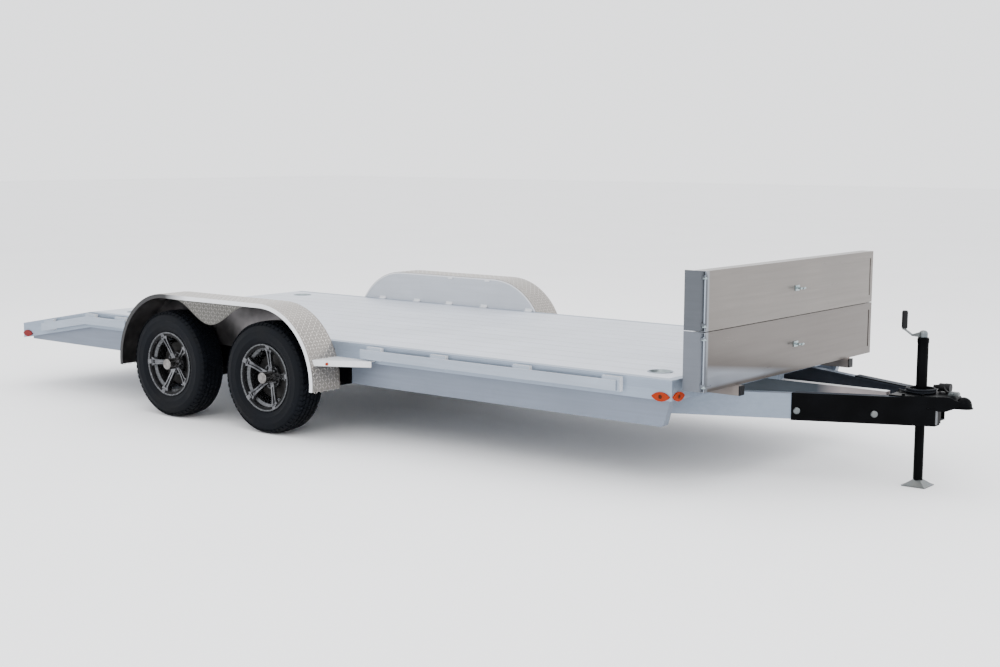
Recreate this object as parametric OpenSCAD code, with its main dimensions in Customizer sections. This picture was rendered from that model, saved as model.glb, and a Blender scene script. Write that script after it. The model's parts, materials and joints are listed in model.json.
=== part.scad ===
// Open aluminium car hauler trailer with a short dovetail, standing level on its jack.
// +X points to the coupler, +Y to the left side, +Z up. The origin is on the ground under
// the middle of the whole length and width. All sizes are in millimetres.

/* [Deck] */
// Length of the level deck, from its front edge to the dovetail's break
deck_l = 4764; // [3600:1:6000]
// Width of the deck over its side rails
deck_w = 2040; // [1900:1:2160]
// Height of the deck's top above the ground
deck_z = 587; // [560:1:640]
// Height of the deck's side, front and rear rails
rail_h = 107; // [96:1:120]
// Width of the rails' top and bottom lips
rail_lip = 50; // [35:1:65]
// Number of fine grooves along the outer face of the side rails
groove_count = 5; // [3:1:6]
// Pitch of the fine grooves
groove_pitch = 9; // [7:0.5:10]
// Wall of the rails
rail_wall = 6; // [4:0.5:8]
// Thickness of the deck planks
plank_t = 38; // [30:1:45]
// Number of planks side by side
plank_count = 12; // [8:1:14]
// Skin and leg thickness of a plank
plank_skin = 4; // [3:0.5:6]
// Gap between planks
plank_gap = 2; // [1:0.5:4]
// Spacing of the crossmembers
cross_pitch = 406; // [300:1:600]
// Width of a crossmember
cross_w = 40; // [30:1:60]
// Wall of a crossmember
cross_wall = 5; // [4:0.5:8]

/* [Dovetail] */
// Run of the dovetail along the ground
dove_run = 801; // [600:1:1200]
// Drop of the dovetail at its rear edge
dove_drop = 138; // [100:1:140]

/* [Frame beams] */
// Height of the lower beams
beam_h = 145; // [120:1:160]
// Width of the beams' flanges
beam_flange = 45; // [35:1:70]
// Wall of the beams
beam_wall = 7; // [5:0.5:10]
// How far the beams stand in from the deck's edge
beam_inset = 40; // [20:1:60]
// How far the beams end behind the deck's front edge
beam_back = 31; // [10:1:80]
// Slant of the beams' front ends
beam_nose = 41; // [20:1:80]
// Rounding of the beams' lower front corner
beam_corner_r = 22; // [8:1:40]

/* [Rub rail] */
// How far the rub rail's outer face stands out from the deck
rub_out = 35; // [28:1:45]
// Thickness of the rub rail's bar
rub_t = 8; // [6:0.5:10]
// Height of the rub rail's bar
rub_h = 54; // [40:1:60]
// Depth of the bar's top edge below the deck
rub_down = 27; // [20:1:35]
// Length of a stake pocket
pocket_l = 112; // [90:1:130]
// Wall of a stake pocket
pocket_wall = 4; // [3:0.5:6]
// Depth of a stake pocket's rim below the deck
pocket_down = 9; // [4:1:18]
// Height of a stake pocket
pocket_h = 76; // [62:1:82]

/* [Running gear] */
// Distance of the front axle behind the deck's front edge
axle_back = 2777; // [2200:1:3200]
// Distance between the two axles
axle_spread = 898; // [840:1:960]
// Outer diameter of a tyre
tyre_d = 688; // [640:1:720]
// Section width of a tyre
tyre_w = 200; // [180:1:202]
// Diameter of the rim's flanges
rim_d = 415; // [390:1:425]
// Gap between the deck's edge and the tyres
tyre_gap = 10; // [8:0.5:14]
// Radius of a brake drum
drum_r = 140; // [120:1:150]
// Radius of a wheel spindle
spindle_r = 22; // [18:0.5:28]
// Running clearance of the hub on its spindle
spindle_gap = 0.4; // [0.2:0.1:1]
// Side of the square axle tube
axle_tube = 76; // [60:1:90]
// Length of the torsion arm
arm_l = 152; // [130:1:170]

/* [Fenders] */
// Radius of the fender around a wheel's centre
fender_r = 456; // [430:1:480]
// Width of the fender
fender_w = 230; // [226:1:250]
// Thickness of the fender's sheet
fender_t = 3; // [2:0.5:5]
// Height of the fender's ends above the ground
fender_end_z = 305; // [250:1:330]
// Height of the outer lip
lip_h = 26; // [18:1:34]
// How far the valance stands in behind the lip's face
valance_in = 2.5; // [1.5:0.5:4]
// Depth of the valance between the arches, below the lip
valance_drop = 138; // [80:1:170]
// Half width of the valance at the lip
valance_half = 340; // [260:1:400]
// Overlap of the inner panel on the side rail
panel_lap = 45; // [20:1:60]
// Reach of the step bracket ahead of the front axle
step_reach = 742; // [600:1:820]
// Height of the step bracket's flange
step_h = 35; // [25:1:45]
// Depth of the step bracket's top below the deck
step_down = 92; // [85:1:104]

/* [Tongue] */
// Reach of the coupler's tip ahead of the deck
tongue_reach = 1153; // [1000:1:1300]
// Angle of each tongue rail to the centre line
tongue_a = 25; // [24:0.5:26]
// Width of a tongue rail
tongue_w = 50; // [40:1:60]
// Height of a tongue rail
tongue_h = 133; // [110:1:140]
// Wall of a tongue rail
tongue_wall = 6; // [4:0.5:8]
// Distance of the tongue's nose behind the coupler's tip
nose_back = 193; // [180:1:205]
// Half width of the tongue at its nose
nose_half = 118; // [110:1:126]
// Length of the steel sleeves over the rails, along the centre line
sleeve_run = 612; // [500:1:700]
// Wall of the steel sleeves
sleeve_wall = 6; // [4:0.5:8]
// How far the rails end behind the nose, inside the sleeves
rail_in_sleeve = 137; // [100:1:300]
// Width of the centre beam
centre_w = 50; // [40:1:76]
// Height of the centre beam
centre_h = 100; // [70:1:120]
// Distance of the centre beam's front end behind the coupler's tip
centre_back = 455; // [420:1:520]

/* [Coupler] */
// Radius of the coupler's ball socket
socket_r = 25.7; // [20:0.1:31]
// Depth of the ball socket
socket_depth = 42; // [36:0.5:46]
// Wall round the ball socket
socket_wall = 16; // [12:0.5:20]
// Distance of the ball's centre behind the coupler's tip
ball_back = 48; // [46:0.5:54]
// Thickness of the coupler's top plate
plate_t = 7; // [5:0.5:10]
// Rear edge of the top plate behind the coupler's tip
plate_back = 375; // [360:1:400]
// Height of the coupler's side walls
cheek_h = 54; // [40:1:56]
// Drop of the coupler's top where it curves down to the ball housing
coupler_drop = 23; // [15:1:30]

/* [Jack] */
// Distance of the jack behind the coupler's tip
jack_back = 275; // [265:1:290]
// Radius of the jack's outer tube
jack_r = 28.5; // [26:0.5:32]
// Radius of the jack's leg
leg_r = 25; // [22:0.5:25.5]
// Running clearance of the leg in its tube
leg_gap = 0.6; // [0.3:0.1:1]
// Height of the jack's top above the ground
jack_top = 778; // [720:1:820]
// Height of the lower end of the jack's outer tube
jack_low = 338; // [325:1:345]
// Side of the jack's foot
foot_w = 127; // [100:1:150]
// Reach of the jack's crank
crank_l = 104; // [80:1:120]
// Length of the crank's grip
grip_l = 93; // [80:1:110]
// Radius of the crank's grip
grip_r = 15.5; // [12:0.5:18]

/* [Ramps] */
// Length of a loading ramp
ramp_l = 1936; // [1800:1:2000]
// Width of a loading ramp
ramp_w = 302; // [250:1:305]
// Depth of a ramp's side flanges
ramp_d = 75; // [60:1:90]
// Sheet of a ramp
ramp_t = 4; // [3:0.5:6]
// Depth of a ramp's hook end
ramp_end_d = 124; // [100:1:130]
// Gap between the stored ramps
ramp_gap = 4; // [2:0.5:8]
// Distance of the ramps' front faces ahead of the deck
ramp_ahead = 153; // [150:1:170]
// Number of cross ribs in a ramp
rib_count = 7; // [4:1:10]
// Radius of a hook rod
rod_r = 5; // [4:0.5:8]
// Side of the ramp rests' square tube
rest_w = 50; // [40:1:52]
// Distance of the ramp rests from the centre line
rest_y = 640; // [500:1:700]
// Reach of the ramp rests ahead of the deck
rest_reach = 180; // [165:1:220]

/* [Lamps and tie-downs] */
// Length of a side marker lamp
marker_l = 108; // [80:1:120]
// Height of a side marker lamp
marker_h = 48; // [40:1:52]
// Length of a tail lamp
tail_l = 165; // [140:1:180]
// Height of a tail lamp
tail_h = 57; // [50:1:64]
// How far the lamps stand proud
lamp_proud = 8; // [5:0.5:12]
// Radius of a tie-down's dish
dish_r = 68; // [60:1:74]
// Depth of a tie-down's dish
dish_depth = 22; // [18:1:26]
// Distance of the tie-downs from the deck's edge
dish_in = 220; // [120:1:400]

/* [Light lead] */
// Diameter of the light lead
lead_d = 12; // [8:1:14]
// Mean radius of the lead's coil round the jack
coil_r = 68; // [66:1:72]

/* [Hidden] */

alu = "silver";
alu_warm = "tan";
black = "dimgray";
zinc = "lightsteelblue";
eps = 1;
overall_l = tongue_reach + deck_l + dove_run;
x_tip = overall_l / 2;
x_front = x_tip - tongue_reach;
x_break = x_front - deck_l;
x_rear = -overall_l / 2;
edge = deck_w / 2;
dove_a = atan(dove_drop / dove_run);
beam_top = deck_z - rail_h;
beam_low = beam_top - beam_h;
beam_y = edge - beam_inset;
tyre_r = tyre_d / 2;
rim_r = rim_d / 2;
x_axle_1 = x_front - axle_back;
x_axle_2 = x_axle_1 - axle_spread;
x_axle_mid = (x_axle_1 + x_axle_2) / 2;
track = edge + tyre_gap + tyre_w / 2;
x_nose = x_tip - nose_back;
x_jack = x_tip - jack_back;
sleeve_out = sleeve_wall / cos(tongue_a);
tongue_low = beam_top - tongue_h;
plate_z = beam_top + sleeve_wall;
plate_top = plate_z + plate_t;
ramp_x = x_front + ramp_ahead;
rest_top = beam_top + rest_w + 3;
ramp_low_z = rest_top;
ramp_high_z = rest_top + ramp_w + ramp_gap;
coil_h = 2 * lead_d;

// Runs a side view, drawn in X and Z, across the trailer from y0 to y1.
module along_y(y0, y1)
    translate([0, y1, 0])
        rotate([90, 0, 0])
            linear_extrude(y1 - y0)
                children();

// Runs a front view, drawn in Y and Z, along the trailer from x0 to x1.
module along_x(x0, x1)
    translate([x0, 0, 0])
        rotate([90, 0, 90])
            linear_extrude(x1 - x0)
                children();

module both_sides() {
    children();
    mirror([0, 1, 0]) children();
}

// Height of the deck's surface at a place along the trailer.
function deck_top(x) = x >= x_break ? deck_z : deck_z - dove_drop * (x_break - x) / dove_run;

// A point of the side view at depth d under the deck's surface.
function under(x, d) = [x, deck_top(x) - d];

// A band of the side view between two depths, bent at the break where it crosses it.
function band(x0, x1, d0, d1) = concat(
    [under(x1, d0)],
    x0 < x_break && x1 > x_break ? [under(x_break, d0)] : [],
    [under(x0, d0), under(x0, d1)],
    x0 < x_break && x1 > x_break ? [under(x_break, d1)] : [],
    [under(x1, d1)]);

// The points of an arc that rounds the corner b between a and c.
function unit(v) = v / norm(v);
function round_corner(a, b, c, r, n = 5) =
    let (u = unit(a - b), v = unit(c - b), half = acos(u * v) / 2,
         o = b + unit(u + v) * r / sin(half),
         s = b + u * r / tan(half) - o, e = b + v * r / tan(half) - o,
         a0 = atan2(s[1], s[0]),
         turn = (atan2(e[1], e[0]) - a0 + 540) % 360 - 180)
    [for (i = [0:n]) o + r * [cos(a0 + turn * i / n), sin(a0 + turn * i / n)]];

// Frame: two channel beams, open inwards, that taper away under the dovetail.
module frame_beams() {
    top_front = [x_front - beam_back, beam_top];
    low_front = [x_front - beam_back - beam_nose, beam_low];
    x_end = x_rear + 60;
    low_rear = [x_end, beam_low];
    slot_end = x_break - dove_run * (beam_h - 2 * beam_wall) / dove_drop;
    x_slot = max(slot_end, x_end + beam_wall);
    color(alu) both_sides() difference() {
        along_y(beam_y - beam_flange, beam_y)
            polygon(concat([top_front, [x_break, beam_top], under(x_end, rail_h), low_rear],
                round_corner(low_rear, low_front, top_front, beam_corner_r)));
        along_y(beam_y - beam_flange - eps, beam_y - beam_wall)
            polygon([[top_front[0] - 2 * beam_wall, beam_top - beam_wall],
                [x_break, beam_top - beam_wall],
                [x_slot, max(deck_top(x_slot) - rail_h - beam_wall, beam_low + beam_wall)],
                [x_slot, beam_low + beam_wall],
                [low_front[0] - 2 * beam_wall, beam_low + beam_wall]]);
    }
}

// Deck: side rails are channels, open inwards, that bend down at the break.
rail_groove_w = 2.5;
groove_depth = 1.2;
groove_down = 12;
module side_rails() {
    color(alu) both_sides() difference() {
        along_y(edge - rail_lip, edge)
            polygon(band(x_rear, x_front, 0, rail_h));
        along_y(edge - rail_lip - eps, edge - rail_wall)
            polygon(band(x_rear - eps, x_front + eps, rail_wall, rail_h - rail_wall));
        along_y(edge - rail_lip - eps, edge - rail_wall)
            polygon(band(x_front - rail_lip, x_front + eps, -eps, rail_h + eps));
        along_y(edge - rail_lip - eps, edge - rail_wall)
            polygon(band(x_rear - eps, x_rear + rail_lip, -eps, rail_h + eps));
        for (i = [0:groove_count - 1]) {
            d = groove_down + i * groove_pitch;
            along_y(edge - groove_depth, edge + eps)
                polygon(band(x_rear - eps, x_front + eps, d, d + rail_groove_w));
        }
    }
}

module front_rail() {
    color(alu) difference() {
        along_y(-(edge - rail_wall), edge - rail_wall)
            polygon(band(x_front - rail_lip, x_front, 0, rail_h));
        along_y(-edge, edge)
            polygon(band(x_front - rail_lip - eps, x_front - rail_wall,
                rail_wall, rail_h - rail_wall));
    }
}

tail_y = edge - 190;
tail_depth = rail_h / 2;
id_pitch = 150;
id_r = 10;

// A pointed lens, where two circles cross, and a lamp's outline with round ends.
module lens(l, h) {
    r = (l * l + h * h) / (4 * h);
    intersection_for (s = [-1, 1])
        translate([0, s * (r - h / 2)]) circle(r, $fn = 180);
}
module oval(l, h) {
    square([l - h, h], center = true);
    for (s = [-1, 1])
        translate([s * (l - h) / 2, 0]) circle(d = h, $fn = 48);
}

// Outlines of the lamps in the rear rail, grown by a fitting gap.
module tail_outlines(gap) {
    z = deck_top(x_rear) - tail_depth;
    for (s = [-1, 1])
        translate([s * tail_y, z]) oval(tail_l + 2 * gap, tail_h + 2 * gap);
    for (i = [-1:1])
        translate([i * id_pitch, z]) circle(id_r + gap, $fn = 32);
}

module rear_rail() {
    color(alu) difference() {
        along_y(-(edge - rail_wall), edge - rail_wall)
            polygon(band(x_rear, x_rear + rail_lip, 0, rail_h));
        along_y(-edge, edge)
            polygon(band(x_rear + rail_wall, x_rear + rail_lip + eps,
                rail_wall, rail_h - rail_wall));
        along_x(x_rear - eps, x_rear + rail_wall + eps) tail_outlines(0.3);
    }
}

// A channel crossmember whose rear web stands at x; it follows the dovetail's slope.
module crossmember(x) {
    along_y(-(edge - rail_lip), edge - rail_lip) difference() {
        polygon(band(x, x + cross_w, plank_t, rail_h));
        polygon(band(x + cross_wall, x + cross_w + eps,
            plank_t + cross_wall, rail_h - cross_wall));
    }
}

module crossmembers() {
    first = x_front - rail_lip - cross_pitch;
    color(alu) {
        for (x = [first:-cross_pitch:x_break + cross_w]) crossmember(x);
        for (k = [0.06, 0.5])
            crossmember(x_break - cross_w - k * dove_run);
    }
}

plank_field = deck_w - 2 * rail_lip;
plank_w = (plank_field - (plank_count - 1) * plank_gap) / plank_count;
plank_foot = 20;

// Section of one plank, top at 0: a skin, a middle leg and two outer legs with feet.
module plank_section(t) {
    s = plank_skin;
    difference() {
        translate([0, -t]) square([plank_w, t]);
        for (x0 = [s, plank_w / 2 + s / 2])
            translate([x0, s - t]) square([plank_w / 2 - 1.5 * s, t - 2 * s]);
        translate([plank_foot, -t - eps])
            square([plank_w / 2 - s / 2 - plank_foot, s + 2 * eps]);
        translate([plank_w / 2 + s / 2, -t - eps])
            square([plank_w / 2 - s / 2 - plank_foot, s + 2 * eps]);
    }
}

module plank_row(t) {
    for (i = [0:plank_count - 1])
        translate([i * (plank_w + plank_gap) - plank_field / 2, 0]) plank_section(t);
}

x_dish_front = x_front - 208;
x_dish_rear = x_break + 240;

module dish_places() {
    for (x = [x_dish_front, x_dish_rear], s = [-1, 1])
        translate([x, s * (edge - dish_in), deck_z]) children();
}

module deck_planks() {
    color(alu) difference() {
        translate([0, 0, deck_z])
            along_x(x_break, x_front - rail_lip) plank_row(plank_t);
        dish_places() translate([0, 0, -plank_t - eps])
            cylinder(r = dish_r - 6 + 0.3, h = plank_t + 2 * eps, $fn = 64);
    }
}

module dovetail_planks() {
    t = plank_t * cos(dove_a);
    start = t * tan(dove_a);
    len = (dove_run - rail_lip) / cos(dove_a) - start;
    color(alu)
        translate([x_break, 0, deck_z])
            rotate([0, -dove_a, 0])
                along_x(-start - len, -start) plank_row(t);
}

// Rub rail: flat bars with stake pockets behind them.
rub_off_axle = 655;
rub_x0 = x_axle_1 + rub_off_axle;
rub_x1 = x_front - 315;
rub_rear_x0 = x_rear + 270;
rub_rear_x1 = x_axle_2 - rub_off_axle;
pocket_back = [350, 935, 1525, 2020];
pocket_x = concat([for (back = pocket_back) x_front - back],
    [rub_rear_x1 - 62, x_break + 38, x_rear + 350]);

module stake_pocket(x) {
    half = pocket_l / 2;
    difference() {
        along_y(edge, edge + rub_out - rub_t)
            polygon(band(x - half, x + half, pocket_down, pocket_down + pocket_h));
        along_y(edge + pocket_wall, edge + rub_out - rub_t - pocket_wall)
            polygon(band(x - half + pocket_wall, x + half - pocket_wall,
                pocket_down - eps, pocket_down + pocket_h + eps));
    }
}

module rub_rails() {
    color(alu) both_sides() {
        for (run = [[rub_x0, rub_x1], [rub_rear_x0, rub_rear_x1]])
            along_y(edge + rub_out - rub_t, edge + rub_out)
                polygon(band(run[0], run[1], rub_down, rub_down + rub_h));
        for (x = pocket_x) stake_pocket(x);
    }
}

// Side view of a fender's outline: an arch round each wheel and a flat top between them.
module fender_shape(r, low) {
    intersection() {
        union() {
            for (x = [x_axle_1, x_axle_2])
                translate([x, tyre_r]) circle(r, $fn = 96);
            translate([x_axle_2, low]) square([axle_spread, tyre_r + r - low]);
        }
        translate([x_axle_2 - r - eps, low])
            square([axle_spread + 2 * r + 2 * eps, tyre_r + r - low + eps]);
    }
}

// The valance's lower edge is one wave of a cosine, deepest midway between the axles.
valance_steps = 16;
module valance() {
    z = tyre_r + fender_r - lip_h;
    polygon(concat(
        [[x_axle_mid + valance_half, z + lip_h - fender_t],
         [x_axle_mid - valance_half, z + lip_h - fender_t]],
        [for (i = [0:valance_steps])
            let (u = i / valance_steps * 2 - 1)
            [x_axle_mid + u * valance_half, z - valance_drop * (1 + cos(180 * u)) / 2]]));
}

module fender() {
    face = edge + fender_w;
    difference() {
        along_y(edge, face) fender_shape(fender_r, fender_end_z);
        along_y(edge - eps, face - fender_t)
            fender_shape(fender_r - fender_t, fender_end_z - 2 * eps);
        along_y(face - 2 * fender_t, face + eps)
            fender_shape(fender_r - lip_h, fender_end_z - 2 * eps);
    }
    along_y(face - valance_in - fender_t, face - valance_in) valance();
}

module fender_left() {
    color("gainsboro") fender();
}

module fender_right() {
    color("gainsboro") mirror([0, 1, 0]) fender();
}

// Smooth panels that close the fenders towards the deck.
module fender_panels() {
    color(alu) both_sides()
        along_y(edge, edge + fender_t)
            fender_shape(fender_r - fender_t, deck_z - panel_lap);
}

// Step brackets: a three-cornered plate with a flange on its slanted outer edge, which
// runs from step_in, inside the fender's arch, to step_tip.
step_top = deck_z - step_down;
step_in = [x_axle_1 + fender_r * cos(asin((step_top - tyre_r) / fender_r)) - 20,
    edge + fender_w - 12];
step_tip = [x_axle_1 + step_reach, edge + 30];
step_out = unit([step_in[1] - step_tip[1], step_tip[0] - step_in[0]]);
module fender_steps() {
    wall = 4;
    n = wall * step_out;
    color(alu) both_sides() difference() {
        union() {
            translate([0, 0, step_top - wall])
                linear_extrude(wall)
                    polygon([[step_in[0], edge], step_in, step_tip, [step_tip[0], edge]]);
            translate([0, 0, step_top - step_h])
                linear_extrude(step_h)
                    polygon([step_in, step_tip, step_tip - n, step_in - n]);
        }
        translate([x_axle_1, edge - eps, tyre_r])
            rotate([-90, 0, 0])
                cylinder(r = fender_r + 0.3, h = fender_w + 2 * eps, $fn = 96);
    }
}

// Torsion axles: a square tube ahead of and below the spindles, with a trailing arm
// at each end. The axle plates on the beams hold the tubes.
tube_z = beam_low - axle_tube / 2;
arm_rise = tyre_r - tube_z;
arm_run = sqrt(arm_l * arm_l - arm_rise * arm_rise);
plate_w = 5;
plate_lap = 6;
tube_end = beam_y + plate_w + plate_lap;

// A flat link between two round ends, a at the origin.
module link(b, ra, rb) {
    d = norm(b);
    dir = atan2(b[1], b[0]);
    open = acos((ra - rb) / d);
    circle(ra, $fn = 64);
    translate(b) circle(rb, $fn = 64);
    polygon([for (p = [[[0, 0], ra, open], [b, rb, open], [b, rb, -open], [[0, 0], ra, -open]])
        p[0] + p[1] * [cos(dir + p[2]), sin(dir + p[2])]]);
}

module axle(x) {
    arm_t = 22;
    seat = track - 92;
    along_y(-tube_end, tube_end)
        translate([x + arm_run, tube_z]) square(axle_tube, center = true);
    both_sides() {
        along_y(tube_end, tube_end + arm_t)
            translate([x + arm_run, tube_z])
                link([-arm_run, arm_rise], axle_tube / 2 + 4, 34);
        translate([x, 0, tyre_r]) rotate([-90, 0, 0]) {
            translate([0, 0, tube_end + arm_t]) cylinder(r = 30, h = seat - tube_end - arm_t, $fn = 48);
            translate([0, 0, seat]) cylinder(r = drum_r + 4, h = 4, $fn = 72);
            translate([0, 0, seat]) cylinder(r = spindle_r, h = 120, $fn = 48);
        }
    }
}

module axle_front() {
    color(black) axle(x_axle_1);
}

module axle_rear() {
    color(black) axle(x_axle_2);
}

plate_behind = 470;
plate_ahead = 517;
module axle_plates() {
    color(black) both_sides() along_y(beam_y, beam_y + plate_w) difference() {
        union() {
            translate([x_axle_2 - plate_behind, beam_low])
                square([plate_behind + axle_spread + plate_ahead, beam_h - 12]);
            for (x = [x_axle_1, x_axle_2])
                polygon([[x + arm_run - 90, beam_low + eps], [x + arm_run - 62, tube_z - 50],
                    [x + arm_run + 62, tube_z - 50], [x + arm_run + 90, beam_low + eps]]);
        }
        for (x = [x_axle_1, x_axle_2])
            translate([x + arm_run, tube_z]) square(axle_tube + 0.4, center = true);
    }
}

// Places a wheel piece: its own Z points outboard and its origin is the tyre's centre.
module at_wheel(x, side)
    translate([x, side * track, tyre_r])
        rotate([-90 * side, 0, 0])
            children();

// Half section of the tyre, from bead to crown: share of the sidewall's height and of
// the half width.
tyre_half = [[0, 0.77], [0.11, 0.79], [0.18, 0.87], [0.32, 0.96], [0.48, 1], [0.64, 0.98],
    [0.80, 0.93], [0.90, 0.86], [0.96, 0.77], [0.99, 0.6], [1, 0.3]];
bead_r = rim_r - 17.5;
groove_w = 8;
groove_d = 7;

module tyre() {
    h = tyre_r - bead_r - 0.5;
    half = [for (p = tyre_half) [bead_r + 0.5 + p[0] * h, p[1] * tyre_w / 2]];
    n = len(half);
    rotate_extrude($fn = 96) difference() {
        polygon(concat(half, [for (i = [n - 1:-1:0]) [half[i][0], -half[i][1]]]));
        for (k = [-0.48, -0.16, 0.16, 0.48])
            translate([tyre_r - groove_d, k * tyre_w / 2 - groove_w / 2])
                square([groove_d + eps, groove_w]);
    }
}

module tyre_front_right() { color("#202022") at_wheel(x_axle_1, -1) tyre(); }
module tyre_front_left() { color("#202022") at_wheel(x_axle_1, 1) tyre(); }
module tyre_rear_right() { color("#202022") at_wheel(x_axle_2, -1) tyre(); }
module tyre_rear_left() { color("#202022") at_wheel(x_axle_2, 1) tyre(); }

// Rim and spokes. The bead sides lie against the tyre.
flange_in = 0.79 * tyre_w / 2 + 0.3;
flange_out = flange_in + 6;
barrel_t = 8;
lip_t = 5;
hub_r = 74;
cap_r = 36;
cap_top = 104;
cap_round = 9;
pilot_r = 31;
pad_top = 26;
spoke_count = 5;
front_turn = 80;
rear_turn = 108;

// Barrel section: radius and distance from the centre plane.
module rim_section() {
    well_r = bead_r - 16;
    polygon([[rim_r, flange_out], [rim_r, flange_in], [bead_r, flange_in],
        [bead_r, 52], [well_r, 42], [well_r, -30], [bead_r, -44],
        [bead_r, -flange_in], [rim_r, -flange_in], [rim_r, -flange_out],
        [rim_r - lip_t, -flange_out], [rim_r - lip_t - 2, -flange_in - 3],
        [bead_r - barrel_t, -flange_in - 1],
        [bead_r - barrel_t, -46], [well_r - barrel_t, -33], [well_r - barrel_t, 44],
        [bead_r - barrel_t, 56], [bead_r - barrel_t, flange_in + 1],
        [rim_r - lip_t - 2, flange_in + 3], [rim_r - lip_t, flange_out]]);
}

// The spokes' dished face: its height at the hub and at the rim's lip.
dish_hub_r = 48;
dish_rim_r = rim_r - lip_t;
hub_face = 36;
lip_face = flange_out - 1.5;
spoke_t = 22;
spoke_end_r = bead_r - 3;
foot_drop = 5;
groove_in = 10;
pocket_in = 4;

// Section of the spokes, which end inside the barrel's wall.
module spoke_section() {
    polygon([[0, hub_face - spoke_t], [dish_hub_r, hub_face - spoke_t],
        [spoke_end_r, lip_face - spoke_t], [spoke_end_r, lip_face - foot_drop],
        [dish_hub_r, hub_face], [0, hub_face]]);
}

// Everything that lies deeper than a depth under the spokes' face.
module below_face(depth) {
    rotate_extrude($fn = 72)
        polygon([[0, -eps], [dish_rim_r, -eps], [dish_rim_r, lip_face - depth],
            [dish_hub_r, hub_face - depth], [0, hub_face - depth]]);
}

// Plans along +X: distance from the centre and half width. A spoke widens to a foot at
// the rim; a groove runs along it and a shallow pocket lies in its foot.
spoke_plan = [[28, 20], [60, 15], [120, 14.5], [158, 18], [172, 26], [182, 32], [rim_r, 34]];
groove_plan = [[66, 4], [120, 6], [150, 9], [164, 12.5], [170, 10]];
pocket_plan = [[175, 13], [186, 17]];
module plan(table) {
    n = len(table);
    polygon(concat(table, [for (i = [n - 1:-1:0]) [table[i][0], -table[i][1]]]));
}

module spokes(turn, table) {
    for (i = [0:spoke_count - 1])
        rotate(turn + i * 360 / spoke_count)
            linear_extrude(flange_out + eps) plan(table);
}

// Chrome cap over the hub's grease cap, rounded at its top.
module cap_section() {
    translate([0, pad_top - eps]) square([cap_r, cap_top - cap_round - pad_top + eps]);
    translate([0, pad_top]) square([cap_r - cap_round, cap_top - pad_top]);
    intersection() {
        translate([cap_r - cap_round, cap_top - cap_round]) circle(cap_round, $fn = 48);
        square([cap_r, cap_top]);
    }
}

module wheel(turn) {
    rotate_extrude($fn = 96) rim_section();
    difference() {
        union() {
            cylinder(r = hub_r, h = pad_top, $fn = 64);
            intersection() {
                rotate_extrude($fn = 96) spoke_section();
                spokes(turn, spoke_plan);
            }
            rotate_extrude($fn = 64) cap_section();
        }
        translate([0, 0, -eps]) cylinder(r = pilot_r - 4, h = 46, $fn = 48);
        difference() {
            spokes(turn, groove_plan);
            below_face(groove_in);
        }
        difference() {
            spokes(turn, pocket_plan);
            below_face(pocket_in);
        }
    }
}

module wheel_front_right() { color("gray") at_wheel(x_axle_1, -1) wheel(front_turn); }
module wheel_front_left() { color("gray") at_wheel(x_axle_1, 1) wheel(front_turn); }
module wheel_rear_right() { color("gray") at_wheel(x_axle_2, -1) wheel(rear_turn); }
module wheel_rear_left() { color("gray") at_wheel(x_axle_2, 1) wheel(rear_turn); }

// Brake drum and hub, against the wheel's mounting face at its centre plane.
module drum() {
    hole = spindle_r + spindle_gap;
    rotate_extrude($fn = 72)
        polygon([[hole, -78], [40, -78], [40, -10], [drum_r - 8, -10], [drum_r - 8, -80],
            [drum_r, -80], [drum_r, -4], [drum_r - 6, 0], [pilot_r - 4.3, 0],
            [pilot_r - 4.3, 34], [hole, 34]]);
}

module drum_front_right() { color("#3a3a3c") at_wheel(x_axle_1, -1) drum(); }
module drum_front_left() { color("#3a3a3c") at_wheel(x_axle_1, 1) drum(); }
module drum_rear_right() { color("#3a3a3c") at_wheel(x_axle_2, -1) drum(); }
module drum_rear_left() { color("#3a3a3c") at_wheel(x_axle_2, 1) drum(); }

// Distance of the tongue's outer face from the centre line at a place along it.
function tongue_y(x) = nose_half + (x_nose - x) * tan(tongue_a);
function tongue_x(y) = x_nose - (y - nose_half) / tan(tongue_a);

// Plan of a strip of the left tongue rail between two offsets from its outer face.
module tongue_strip(x1, x0, out, into) {
    polygon([[x1, tongue_y(x1) + out], [x0, tongue_y(x0) + out],
        [x0, tongue_y(x0) - into], [x1, tongue_y(x1) - into]]);
}

// The aluminium rails run back under the deck and butt against the beams.
module tongue_rails() {
    w = tongue_w / cos(tongue_a);
    t = tongue_wall / cos(tongue_a);
    y_end = beam_y - beam_flange;
    x_butt = tongue_x(y_end);
    x_end = tongue_x(y_end + w);
    x_start = x_nose - rail_in_sleeve;
    color(alu) both_sides() difference() {
        translate([0, 0, tongue_low])
            linear_extrude(tongue_h) intersection() {
                tongue_strip(x_start, x_end - eps, 0, w);
                translate([x_end, 0]) square([x_start - x_end, y_end]);
            }
        translate([0, 0, tongue_low + tongue_wall])
            linear_extrude(tongue_h - 2 * tongue_wall)
                tongue_strip(x_start + eps, x_end - eps, -t, w + eps);
    }
}

centre_under = 900;
module centre_beam() {
    x1 = x_tip - centre_back;
    x0 = x_front - centre_under;
    wall = 5;
    color(alu) along_x(x0, x1) translate([0, beam_top - centre_h / 2]) difference() {
        square([centre_w, centre_h], center = true);
        square([centre_w - 2 * wall, centre_h - 2 * wall], center = true);
    }
}

// Black steel channels over the rails' front parts.
module tongue_sleeves() {
    w = tongue_w / cos(tongue_a);
    t = sleeve_out;
    x1 = x_nose;
    x0 = x_nose - sleeve_run;
    color(black) both_sides() difference() {
        translate([0, 0, tongue_low - sleeve_wall])
            linear_extrude(tongue_h + 2 * sleeve_wall) tongue_strip(x1, x0, t, w);
        translate([0, 0, tongue_low])
            linear_extrude(tongue_h) tongue_strip(x1 + eps, x0 - eps, 0, w + eps);
    }
}

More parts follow.
